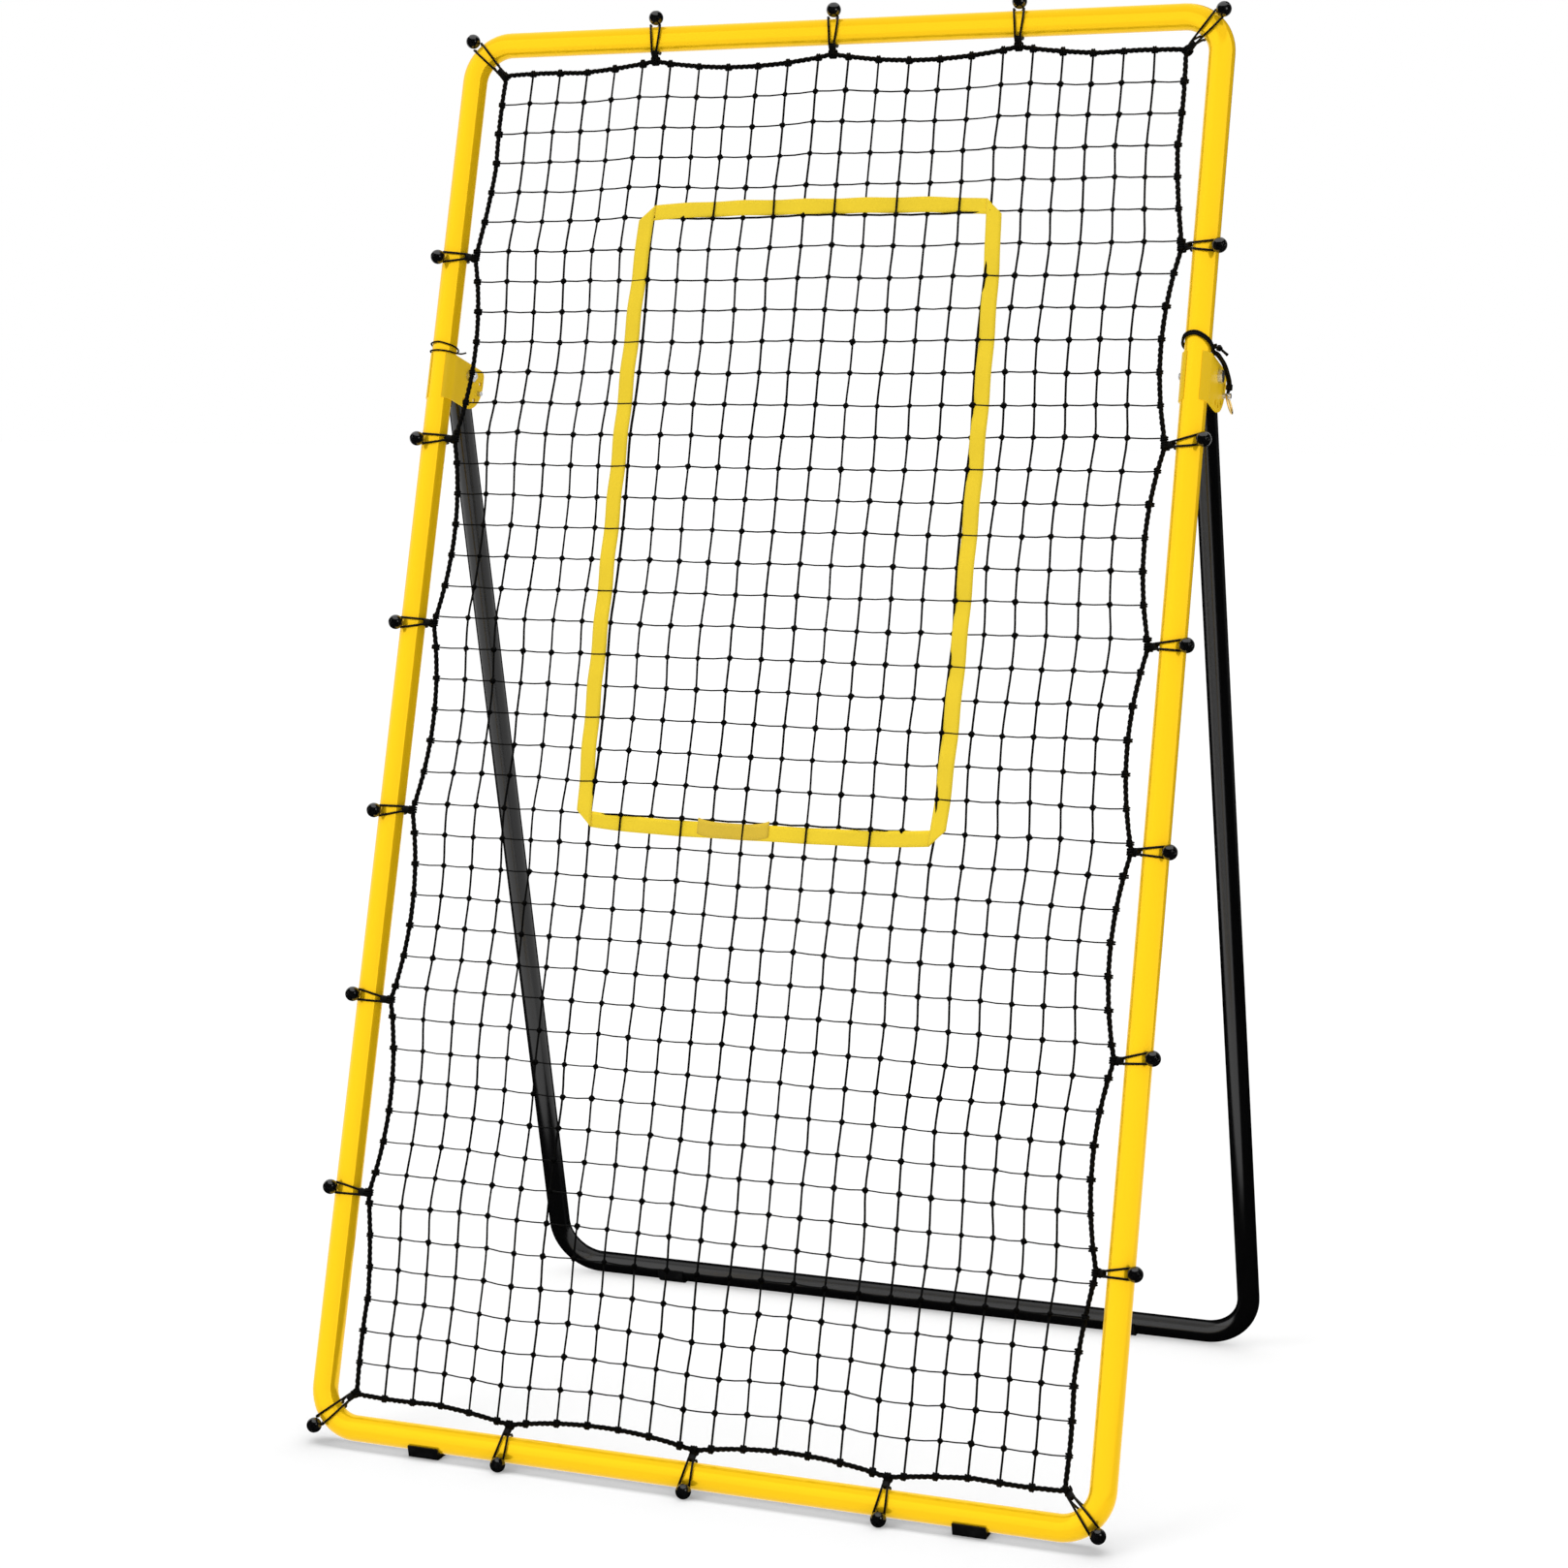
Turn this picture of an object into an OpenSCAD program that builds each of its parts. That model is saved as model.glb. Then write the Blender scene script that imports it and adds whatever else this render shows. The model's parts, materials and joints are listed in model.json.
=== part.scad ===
// Pitch back rebounder: a leaning tube frame with a net hung in it on ball
// bungees, and a U-shaped stand that folds on two welded brackets.
// Millimetres. X runs across, -Y is the side the ball comes from, Z is up.

/* [Frame] */
// Outer width of the frame
frame_w = 932; // [862:5:1002]
// Outer length of the frame, along its uprights
frame_l = 1652; // [1602:5:1702]
// Diameter of the frame tube
frame_tube_d = 29; // [28.5:0.5:31]
// Wall of the frame tube
frame_wall = 1.2; // [1:0.1:2.5]
// Bend radius of the frame's corners, to the middle of the tube
frame_bend_r = 44; // [36:1:52]
// Angle at which the frame leans back, in degrees
lean = 16; // [12:0.5:20]

/* [Stand] */
// Distance on the floor from the bottom tube to the crossbar of the stand
stand_reach = 680; // [620:2:720]
// Diameter of the stand tube
stand_tube_d = 27; // [24:0.5:27.5]
// Wall of the stand tube
stand_wall = 1.2; // [1:0.1:2]
// Bend radius of the stand's corners, to the middle of the tube
stand_bend_r = 55; // [45:1:70]
// Angle at which each leg spreads outwards, in degrees
leg_splay = 0.66; // [0.3:0.02:0.8]
// Length of each leg above its pivot
leg_head = 8; // [7.5:0.5:9]

/* [Brackets] */
// Height of the pivots above the upright's second tie from the top
pivot_over_tie = 86.5; // [70:0.5:105]
// Distance of the pivots behind the middle of the uprights
pivot_back = 36.5; // [34:0.5:42]
// Thickness of the bracket's sheet steel
sheet_t = 2.5; // [2:0.1:3.5]
// Angle over which each flange wraps round the upright, in degrees
flange_wrap = 55; // [40:5:70]
// Height of the ears above the pivot
ear_rise = 15; // [12:0.5:18]
// Radius of the ears' rounded lower corner, about the pivot
ear_arc_r = 38.5; // [37:0.5:44]
// Radius of the row of lock holes, about the pivot
lock_arc_r = 31; // [29:0.5:32]
// Angle between neighbouring lock holes, in degrees
lock_pitch = 25; // [22:0.5:27]

/* [Bolts and pins] */
// Diameter of the pivot bolts
bolt_d = 8; // [6:0.5:8]
// Outer diameter of the sleeves that the legs turn on
sleeve_d = 10; // [9.5:0.1:10.5]
// Diameter of the lock pins
pin_d = 6; // [5:0.1:6.5]
// Diameter of the pull rings, to the middle of the wire
ring_d = 20; // [18:0.5:22]
// Diameter of the ring wire
ring_wire_d = 2.3; // [1.8:0.1:2.5]

/* [Feet] */
// Length of each foot pad on the frame
foot_l = 37; // [25:1:60]
// Distance of the foot pads in from the uprights
foot_in = 135.5; // [100:0.5:165]
// Thickness of the foot pads below the frame tube
foot_under = 4; // [4:0.5:9]
// Thickness of the foot pads in front of the frame tube and behind it
foot_wall = 2.6; // [2:0.1:4]
// Length of each pad on the stand
stand_foot_l = 35; // [25:1:60]
// Distance of the stand's pads in from the uprights
stand_foot_in = 146.5; // [100:0.5:180]
// Thickness of the stand's pads below its tube
stand_foot_under = 2; // [1.5:0.1:3]
// Thickness of the stand's pads in front of its tube and behind it
stand_foot_wall = 2.5; // [2:0.1:4]

/* [Net] */
// Gap between the frame tube and the border rope at a tie
tie_gap = 9; // [8.5:0.5:13]
// Gap between the frame tube and the border rope between two ties
net_gap = 23; // [20:0.5:28]
// Diameter of the border rope
rope_d = 6; // [4:0.5:6]
// Thickness of the net's strands
strand_d = 2.4; // [1.6:0.1:3]
// Number of columns of meshes
net_cols = 12; // [8:1:13]
// Number of rows of meshes
net_rows = 22; // [16:1:23]

/* [Strike zone] */
// Outer width of the strike zone
zone_w = 446; // [380:2:520]
// Outer height of the strike zone
zone_h = 736; // [600:2:820]
// Height of its middle along the uprights, from the middle of the bottom tube
zone_up = 1058; // [980:2:1100]
// Width of the webbing
band_w = 18; // [12:1:30]
// Thickness of the webbing
band_t = 1.2; // [0.8:0.1:2]
// Size of the slanted corners
zone_corner = 22; // [10:1:28]

/* [Bungees] */
// Distance between neighbouring ties
tie_pitch = 220; // [190:1:228]
// Diameter of the balls
ball_d = 16; // [14:0.5:16]
// Diameter of the elastic cord
cord_d = 2.5; // [2:0.1:2.6]
// Distance of each strand from the middle of its ball
ball_spread = 5.2; // [4.5:0.1:6]
// Length of the sleeves that gather the strands
crimp_l = 6; // [5:0.5:6.5]
// Angle of the left upright's balls towards the front, in degrees
left_turn = 62; // [50:1:75]
// Angle of the right upright's balls towards the front, in degrees
right_turn = 42; // [42:1:60]
// Angle of the top tube's balls towards the front, in degrees
top_turn = 25; // [10:1:50]
// Angle of the bottom tube's balls towards the front, from straight down, in degrees
bottom_turn = 68; // [68:1:80]
// Angle of the corner balls towards the front, in degrees
corner_turn = 35; // [20:1:50]

/* [Lanyards] */
// Diameter of the right lanyard
right_lanyard_d = 3; // [2:0.1:3]
// Diameter of the left lanyard
left_lanyard_d = 2; // [1.5:0.1:2.4]

/* [Hidden] */
$fn = 64;
fit = 0.05;
seat_gap = 0.3;
stop_gap = 0.15;
strand_gap = 0.1;
lap = 1.5;
swell = 0.04;
side_ties = 6;
end_ties = 3;
pin_hole = 3;
lock_holes = 5;
cord_sides = 6;
span_steps = 6;
yellow = "#f4cb14";
black = "#1d1d20";
zinc = "#c9ccd0";

// Frame tube, seen along the uprights from the middle of the bottom tube
frame_r = frame_tube_d / 2;
upright_x = frame_w / 2 - frame_r;
top_z = frame_l - frame_tube_d;
mid_z = top_z / 2;
base_z = frame_r + foot_under;
foot_x = upright_x - foot_in;
stand_foot_x = upright_x - stand_foot_in;

// Pivots and crossbar on the floor, measured back from the bottom tube
stand_r = stand_tube_d / 2;
bar_z = stand_r + stand_foot_under;
pivot_up = mid_z + (side_ties - 3) / 2 * tie_pitch + pivot_over_tie;
pivot_y = pivot_up * sin(lean) + pivot_back * cos(lean);
pivot_z = base_z + pivot_up * cos(lean) - pivot_back * sin(lean);
leg_turn = atan2(stand_reach - pivot_y, pivot_z - bar_z);
leg_l = norm([stand_reach - pivot_y, pivot_z - bar_z]);
open_angle = lean + leg_turn;

// Brackets
ear_in = frame_r + fit;
ear_out = ear_in + sheet_t;
bolt_r = bolt_d / 2;
pin_r = pin_d / 2;
sleeve_r = sleeve_d / 2;
// The pins stand behind the legs, each touching the back of its leg
pin_angle = open_angle + asin((stand_r + pin_r + stop_gap) / lock_arc_r);
pin_back = lock_arc_r * sin(pin_angle);
pin_down = lock_arc_r * cos(pin_angle);
eye_off = 5;
eye_gap = 0.6;
eye_x = ear_out + eye_off;
eye_r = ring_wire_d / 2 + eye_gap;
ring_r = ring_d / 2;
ring_out = 17;

// Bungees
ball_r = ball_d / 2;
cord_r = cord_d / 2;
wrap_steps = 10;
wrap_end = 145;
wrap_r = (frame_r + cord_r + seat_gap) / cos(wrap_end / wrap_steps);
ball_out = wrap_r + sqrt(pow(ball_r + cord_r + strand_gap, 2) - pow(ball_spread, 2));
bundle = cord_r + strand_gap;
crimp_hole_r = bundle * sqrt(2) + cord_r + strand_gap;
crimp_wall = 0.9;

// Net, seen from the front: half width and the heights of its two ends
rope_r = rope_d / 2;
rope_seat = rope_r * cos(180 / cord_sides) + seat_gap;
tie_reach = frame_r + tie_gap + rope_r;
net_inset = frame_r + net_gap + rope_r;
net_half = upright_x - net_inset;
net_low = net_inset - 3;
net_high = top_z - net_inset + 3;
side_pull = net_gap - tie_gap;
end_pull = side_pull - 3;
// Strip between rope and net, which leaves the rope its gap where it slants most
net_seat = rope_seat / cos(atan(4 * side_pull / tie_pitch));
bend_in = frame_bend_r * (1 - cos(45));
corner_reach = norm([net_inset - bend_in, net_low - bend_in]);

// The whole part stands with its footprint's middle at Y = 0
front_y = -ball_out * sin(bottom_turn) - ball_r;
stand_foot_r = stand_r + stand_foot_wall;
y_shift = -(front_y + stand_reach + stand_foot_r) / 2;

// ---- Places ----

// Leaning frame: Y is behind the uprights' middle, Z runs up along them
module in_frame() {
    translate([0, y_shift, base_z]) rotate([-lean, 0, 0]) children();
}

// Side view of one bracket: X outwards from the upright's middle, origin level
// with the pivot. side is -1 on the left and 1 on the right.
module at_bracket(side) {
    in_frame() mirror([side < 0 ? 1 : 0, 0, 0]) translate([upright_x, 0, pivot_up]) children();
}

// Stand: origin on the pivot axis, -Z runs down along the legs
module in_stand() {
    translate([0, y_shift + pivot_y, pivot_z]) rotate([leg_turn, 0, 0]) children();
}

module mirrored(side) {
    mirror([side < 0 ? 1 : 0, 0, 0]) children();
}

// ---- Cords ----

function unit(v) = v / norm(v);

function lerp(a, b, u) = a + (b - a) * u;

function tangents(p, closed) = let (n = len(p)) [
    for (i = [0 : n - 1])
        unit(p[closed ? (i + 1) % n : min(i + 1, n - 1)] - p[closed ? (i + n - 1) % n : max(i - 1, 0)])
];

// Each ring's first direction is the one before it, turned with the route
function carried(t, first) = [
    for (i = 0, n = unit(first - (first * t[0]) * t[0]);
         i < len(t);
         i = i + 1, n = i < len(t) ? unit(n - (n * t[i]) * t[i]) : n) n
];

// One round cord along a route: an open one has flat ends
module cord(route, r, sides, closed = false, first = [0, 0, 1]) {
    t = tangents(route, closed);
    n = closed ? [for (v = t) unit(first - (first * v) * v)] : carried(t, first);
    count = len(route);
    points = [
        for (i = [0 : count - 1]) for (k = [0 : sides - 1])
            let (a = 360 * k / sides)
                route[i] + r * (cos(a) * n[i] + sin(a) * cross(t[i], n[i]))
    ];
    skin = [
        for (i = [0 : count - (closed ? 1 : 2)]) for (k = [0 : sides - 1])
            let (j = (i + 1) % count, m = (k + 1) % sides)
                each [[i * sides + k, j * sides + k, j * sides + m],
                      [i * sides + k, j * sides + m, i * sides + m]]
    ];
    last = (count - 1) * sides;
    ends = closed ? [] : [
        for (k = [1 : sides - 2])
            each [[0, k, k + 1], [last, last + k + 1, last + k]]
    ];
    polyhedron(points, concat(skin, ends));
}

// ---- Frame ----

module tube_ring(r, wall) {
    difference() {
        circle(r = r);
        circle(r = r - wall);
    }
}

module frame_bend(x, z, turn) {
    translate([x, 0, z]) rotate([90, 0, 0]) rotate([0, 0, turn])
        rotate_extrude(angle = 90) translate([frame_bend_r, 0]) tube_ring(frame_r, frame_wall);
}

module frame() {
    flat_x = upright_x - frame_bend_r;
    flat_z = top_z - frame_bend_r;
    color(yellow) in_frame() {
        for (side = [-1, 1])
            translate([side * upright_x, 0, frame_bend_r])
                linear_extrude(top_z - 2 * frame_bend_r) tube_ring(frame_r, frame_wall);
        for (z = [0, top_z])
            translate([-flat_x, 0, z]) rotate([0, 90, 0])
                linear_extrude(2 * flat_x) tube_ring(frame_r, frame_wall);
        frame_bend(flat_x, flat_z, 0);
        frame_bend(-flat_x, flat_z, 90);
        frame_bend(-flat_x, frame_bend_r, 180);
        frame_bend(flat_x, frame_bend_r, 270);
    }
}

// Moulded pad: it clips under the bottom tube and has a flat sole
module foot_pad(side) {
    drop = 5;
    front_slope = 3;
    back_slope = 6;
    half = sqrt(pow(frame_r + foot_wall, 2) - pow(drop, 2));
    color(black) translate([side * foot_x - foot_l / 2, y_shift, 0])
        rotate([90, 0, 90]) linear_extrude(foot_l) difference() {
            polygon([[-half + front_slope, 0], [half - back_slope, 0],
                     [half, base_z - drop], [-half, base_z - drop]]);
            translate([0, base_z]) circle(r = frame_r + fit);
        }
}

// ---- Brackets ----

// Plan of an ear: a flange that hugs the upright, then a flat plate behind it
module ear_plan() {
    intersection() {
        difference() {
            circle(r = ear_out);
            circle(r = ear_in);
        }
        polygon([[0, 0], [2 * ear_out, 0], [2 * ear_out, -2 * ear_out * tan(flange_wrap)]]);
    }
    translate([ear_in, 0]) square([sheet_t, pivot_back + ear_arc_r]);
}

// Side outline of an ear about the pivot, with its rounded lower corner
module ear_outline() {
    corner = 7;
    front = pivot_back + ear_out + 1;
    translate([-front, -ear_arc_r]) square([front, ear_arc_r + ear_rise]);
    intersection() {
        circle(r = ear_arc_r);
        translate([-1, -ear_arc_r]) square([ear_arc_r + 1, ear_arc_r + 1]);
    }
    translate([-1, -1]) square([ear_arc_r + 1, ear_rise - corner + 1]);
    translate([-1, -1]) square([ear_arc_r - corner + 1, ear_rise + 1]);
    translate([ear_arc_r - corner, ear_rise - corner]) circle(r = corner);
}

// side picks the upright, face is 1 for the outer ear and -1 for the inner one
module ear(side, face) {
    color(yellow) at_bracket(side) mirrored(face) difference() {
        intersection() {
            translate([0, 0, -ear_arc_r - 1]) linear_extrude(ear_arc_r + ear_rise + 2) ear_plan();
            translate([0, pivot_back, 0]) rotate([90, 0, 90])
                linear_extrude(ear_out + 1) ear_outline();
        }
        translate([0, pivot_back, 0]) rotate([0, 90, 0]) cylinder(h = 2 * ear_out, r = bolt_r + 0.1);
        for (i = [0 : lock_holes - 1])
            let (a = pin_angle + (i - pin_hole) * lock_pitch)
                translate([0, pivot_back + lock_arc_r * sin(a), -lock_arc_r * cos(a)])
                    rotate([0, 90, 0]) cylinder(h = 2 * ear_out, r = pin_r + fit);
    }
}

// Hexagon head or nut, seated on a face at X = 0
module hexagon(across, h) {
    rotate([0, 90, 0]) intersection() {
        cylinder(h = h, r = across / sqrt(3), $fn = 6);
        cylinder(h = h, r1 = across / 2 + 0.3 + h, r2 = across / 2 + 0.3);
    }
}

module pivot_bolt(side) {
    nut_h = bolt_d;
    color(zinc) at_bracket(side) translate([0, pivot_back, 0]) {
        translate([-ear_out - nut_h - 2, 0, 0]) rotate([0, 90, 0])
            cylinder(h = 2 * ear_out + nut_h + 2, r = bolt_r);
        translate([ear_out, 0, 0]) hexagon(bolt_d * 1.625, bolt_d * 0.66);
    }
}

module pivot_nut(side) {
    color(zinc) at_bracket(side) translate([-ear_out, pivot_back, 0]) difference() {
        mirror([1, 0, 0]) hexagon(bolt_d * 1.625, bolt_d * 0.85);
        translate([-2 * bolt_d, 0, 0]) rotate([0, 90, 0]) cylinder(h = 3 * bolt_d, r = bolt_r + fit);
    }
}

// Lock pin: bevelled tip inside, eye for the ring outside
module lock_pin(side) {
    past = 4;
    tip = ear_out + past;
    tail = eye_x + past;
    bevel = 1.2;
    color(zinc) at_bracket(side) translate([0, pivot_back + pin_back, -pin_down]) difference() {
        union() {
            translate([-tip, 0, 0]) rotate([0, 90, 0]) cylinder(h = tip + tail, r = pin_r);
            translate([-tip - bevel, 0, 0]) rotate([0, 90, 0])
                cylinder(h = bevel, r1 = pin_r - bevel, r2 = pin_r);
        }
        translate([eye_x, -2 * pin_r, 0]) rotate([-90, 0, 0]) cylinder(h = 4 * pin_r, r = eye_r);
    }
}

module pull_ring(side) {
    color(zinc) at_bracket(side) translate([eye_x, pivot_back + pin_back, -pin_down])
        rotate([0, -ring_out, 0]) translate([0, 0, -ring_r]) rotate([0, 90, 0])
            rotate_extrude() translate([ring_r, 0]) circle(d = ring_wire_d, $fn = 24);
}

// Place on the upright's skin, a degrees from outwards through the front
function around(a, r, z) = [r * cos(a), -r * sin(a), z];

// Radius at which a cord goes round the upright in steps of some degrees
function wound(r, step) = (frame_r + r + seat_gap) / cos(step / 2);

// The last stretch of both lanyards: past the bolt head and down to the pin
function lanyard_drop(d) = let (
    end_y = pivot_back + pin_back,
    end_z = pin_r - pin_down + seat_gap
) [
    [ear_out + d / 2 + 1.5, 22, 15],
    [ear_out + d / 2 + 2.6, 36, 12.5],
    [eye_x - 0.6, end_y - 13, end_z + 18],
    [eye_x, end_y - 4, end_z + 12],
    [eye_x, end_y, end_z + 5],
    [eye_x, end_y, end_z]
];

module lanyard_right() {
    r = right_lanyard_d / 2;
    top = ear_rise + r + 0.6;
    heights = [6, 4, 3, 3, 4, 6, 9, 13, 15, 15, 12, 8, 3, 0];
    last = len(heights) - 1;
    turn_r = wound(r, 354 / last);
    knot = [turn_r + 4.6, 9, top + 6.5];
    color(black) at_bracket(1) {
        cord(concat(
            [knot + [-2.6, -2.6, 0.3]],
            [for (i = [0 : last]) around(332 - 354 * i / last, turn_r, top + heights[i])],
            [[ear_out + r + 0.4, 9, top - 1.2]],
            lanyard_drop(right_lanyard_d)), r, 8);
        translate(knot) sphere(r = 3.4, $fn = 24);
        translate(knot + [2.2, 2.8, -1]) rotate([-70, 0, -35]) cylinder(h = 9, r = r, $fn = 16);
    }
}

module lanyard_left() {
    r = left_lanyard_d / 2;
    top = ear_rise + r + 0.6;
    steps = 23;
    turn_r = wound(r, 630 / steps);
    color(black) at_bracket(-1)
        cord(concat(
            [[-turn_r - 12, 1, top + 1.5], [-turn_r - 6, 0, top]],
            [for (i = [0 : steps])
                let (a = 165 - 630 * i / steps)
                    around(a, turn_r, top + 10.5 * pow(min(1, i / 16), 2) - 4 * max(0, i / 16 - 1))],
            [[ear_out + r + 1, 20, top + 4]],
            lanyard_drop(left_lanyard_d)), r, 8);
}

// ---- Stand ----

// The bends are a hair wider than the tubes, which run a little way into them
bend_x = upright_x + leg_l * sin(leg_splay) - stand_bend_r * (1 + sin(leg_splay)) / cos(leg_splay);
leg_run = (leg_l + leg_head - stand_bend_r * (1 + sin(leg_splay))) / cos(leg_splay);

// Middle of one bend, with Z up along the stand
module at_bend(side) {
    in_stand() translate([0, 0, -leg_l]) mirrored(side) translate([bend_x, 0, stand_bend_r]) children();
}

// Axis of one leg, origin where it meets the bend
module along_leg(side) {
    at_bend(side) rotate([0, -leg_splay, 0]) translate([stand_bend_r, 0, 0]) children();
}

module stand() {
    color(black) for (side = [-1, 1]) {
        in_stand() translate([0, 0, -leg_l]) mirrored(side) rotate([0, 90, 0])
            linear_extrude(bend_x + lap) tube_ring(stand_r, stand_wall);
        at_bend(side) rotate([90, 0, 0]) rotate([0, 0, -90]) rotate_extrude(angle = 90 + leg_splay)
            translate([stand_bend_r, 0]) tube_ring(stand_r + swell, stand_wall + 2 * swell);
        difference() {
            along_leg(side) translate([0, 0, -lap]) linear_extrude(leg_run + lap)
                tube_ring(stand_r, stand_wall);
            in_stand() translate([side * upright_x - stand_tube_d, 0, 0]) rotate([0, 90, 0])
                cylinder(h = 2 * stand_tube_d, r = sleeve_r + fit);
        }
    }
}

module stand_pad(side) {
    cover = 3;
    color(black) translate([side * stand_foot_x - stand_foot_l / 2, y_shift + stand_reach, 0])
        rotate([90, 0, 90]) linear_extrude(stand_foot_l) difference() {
            intersection() {
                translate([0, bar_z]) circle(r = stand_foot_r);
                translate([-stand_foot_r, 0]) square([2 * stand_foot_r, bar_z + cover]);
            }
            translate([0, bar_z]) circle(r = stand_r + fit);
        }
}

module pivot_sleeve(side) {
    half = ear_in - seat_gap;
    color(zinc) in_stand() translate([side * upright_x - half, 0, 0]) rotate([0, 90, 0])
        linear_extrude(2 * half) tube_ring(sleeve_r, sleeve_r - bolt_r - 0.06);
}

module leg_cap(side) {
    plug = 2.5;
    rim = 1.2;
    color(black) along_leg(side) {
        translate([0, 0, leg_run - plug]) cylinder(h = plug, r = stand_r - stand_wall - fit);
        translate([0, 0, leg_run]) cylinder(h = rim, r1 = stand_r, r2 = stand_r - 0.8);
    }
}

// ---- Net ----

// How far the border is pulled out at a place: knots are where ties hold it
function pull(at, knots, ends, amount) =
    let (all = concat([ends[0]], knots, [ends[1]]),
         n = len(all) - 1,
         i = max([for (k = [0 : n - 1]) at >= all[k] ? k : 0]),
         u = min(1, max(0, (at - all[i]) / (all[i + 1] - all[i]))),
         a = i == 0 ? 0 : amount,
         b = i == n - 1 ? 0 : amount,
         sag = i == 0 || i == n - 1 ? 0.5 * amount : amount)
    lerp(a, b, u) - 4 * sag * u * (1 - u);

side_knots = [for (i = [0 : side_ties - 1]) mid_z + (i - (side_ties - 1) / 2) * tie_pitch];
end_knots = [for (i = [0 : end_ties - 1]) (i - (end_ties - 1) / 2) * tie_pitch];

function side_pull_at(z) = pull(z, side_knots, [net_low, net_high], side_pull);

function end_pull_at(x) = pull(x, end_knots, [-net_half, net_half], end_pull);

// A place on the net: u and v run from 0 to 1 across and up, and the border's
// scallops die away towards the middle. inset draws the border in.
function net_place(u, v, inset) =
    let (x = lerp(inset - net_half, net_half - inset, u),
         z = lerp(net_low + inset, net_high - inset, v),
         across = 2 * u - 1,
         up = 2 * v - 1)
    [x + sign(across) * side_pull_at(z) * pow(abs(across), 10),
     z + sign(up) * end_pull_at(x) * pow(abs(up), 16)];

function spans(knots, low, high) =
    let (all = concat([low], knots, [high]))
    [for (i = [0 : len(all) - 2]) for (k = [0 : span_steps - 1])
        (lerp(all[i], all[i + 1], k / span_steps) - low) / (high - low)];

side_steps = spans(side_knots, net_low, net_high);
end_steps = spans(end_knots, -net_half, net_half);

function border(inset) = concat(
    [for (u = end_steps) net_place(u, 0, inset)],
    [for (v = side_steps) net_place(1, v, inset)],
    [for (u = end_steps) net_place(1 - u, 1, inset)],
    [for (v = side_steps) net_place(0, 1 - v, inset)]);

// Flat net with its meshes as holes
module net() {
    hem = 3;
    outline = border(net_seat);
    meshes = [
        for (i = [0 : net_cols - 1]) for (j = [0 : net_rows - 1])
            let (s = strand_d / 2,
                 low = [i == 0 ? hem : s, j == 0 ? hem : s],
                 high = [i == net_cols - 1 ? hem : s, j == net_rows - 1 ? hem : s],
                 a = net_place(i / net_cols, j / net_rows, net_seat),
                 b = net_place((i + 1) / net_cols, j / net_rows, net_seat),
                 c = net_place((i + 1) / net_cols, (j + 1) / net_rows, net_seat),
                 d = net_place(i / net_cols, (j + 1) / net_rows, net_seat))
                [a + low, b + [-high[0], low[1]], c - high, d + [low[0], -high[1]]]
    ];
    points = concat(outline, [for (m = meshes) each m]);
    first = len(outline);
    paths = concat(
        [[for (i = [0 : first - 1]) i]],
        [for (m = [0 : len(meshes) - 1]) [for (k = [0 : 3]) first + 4 * m + k]]);
    color(black) in_frame() rotate([90, 0, 0])
        linear_extrude(strand_d, center = true) polygon(points, paths);
}

module border_rope() {
    color(black) in_frame()
        cord([for (p = border(0)) [p[0], 0, p[1]]], rope_r, cord_sides, true, [0, 1, 0]);
}

module zone_outline() {
    corner = [zone_w / 2, zone_h / 2];
    a = corner - [0, zone_corner];
    b = corner - [zone_corner, 0];
    polygon([
        for (q = [[1, 1], [-1, 1], [-1, -1], [1, -1]])
            each [for (p = q[0] * q[1] > 0 ? [a, b] : [b, a]) [q[0] * p[0], q[1] * p[1]]]
    ]);
}

module strike_zone() {
    color(yellow) in_frame() translate([0, -strand_d / 2, zone_up]) rotate([90, 0, 0])
        linear_extrude(band_t) difference() {
            zone_outline();
            square([zone_w - 2 * band_w, zone_h - 2 * band_w], center = true);
        }
}

// ---- Bungees ----

// One strand round the tube: X outwards, -Y to the front, Z along the tube
function strand_route(turn, reach, side) =
    let (end = rope_seat - reach,
         loop = end + crimp_wall + cord_r + stop_gap,
         mouth = end + crimp_l + 0.8 * cord_r)
    concat(
        [for (p = [[mouth, bundle], [loop + 1.3, bundle], [loop, 0], [loop + 1.3, -bundle], [mouth, -bundle]])
            [p[0], p[1], side * bundle]],
        [for (i = [0 : wrap_steps])
            let (a = lerp(wrap_end, -wrap_end, i / wrap_steps),
                 off = abs(a - turn) / (a > turn ? wrap_end - turn : wrap_end + turn),
                 z = side * lerp(ball_spread, bundle, off))
                [wrap_r * cos(a), -wrap_r * sin(a), z]]);

// Ball, two strands and the sleeve that gathers them at the border rope
module bungee(turn, reach) {
    color(black) {
        rotate([0, 0, -turn]) difference() {
            translate([ball_out, 0, 0]) sphere(r = ball_r);
            translate([ball_out + ball_r - 2, 0, 0]) rotate([0, 90, 0]) cylinder(h = 4, r = 2.4);
        }
        for (side = [-1, 1])
            cord(strand_route(turn, reach, side), cord_r, cord_sides, true);
        translate([rope_seat - reach, 0, 0]) rotate([0, 90, 0]) difference() {
            cylinder(h = crimp_l, r = crimp_hole_r + crimp_wall);
            translate([0, 0, crimp_wall]) cylinder(h = crimp_l, r = crimp_hole_r);
        }
    }
}

// Places a bungee on the frame; away is the angle of its outward direction
module tie(x, z, away, turn, reach) {
    in_frame() translate([x, 0, z]) rotate([0, -away, 0]) bungee(turn, reach);
}

module bungee_left(i) {
    tie(-upright_x, side_knots[side_ties - i], 180, left_turn, tie_reach);
}

module bungee_right(i) {
    tie(upright_x, side_knots[side_ties - i], 0, right_turn, tie_reach);
}

module bungee_top(i) {
    tie(end_knots[i - 1], top_z, 90, top_turn, tie_reach);
}

module bungee_bottom(i) {
    tie(end_knots[i - 1], 0, -90, bottom_turn - lean, tie_reach);
}

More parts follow.
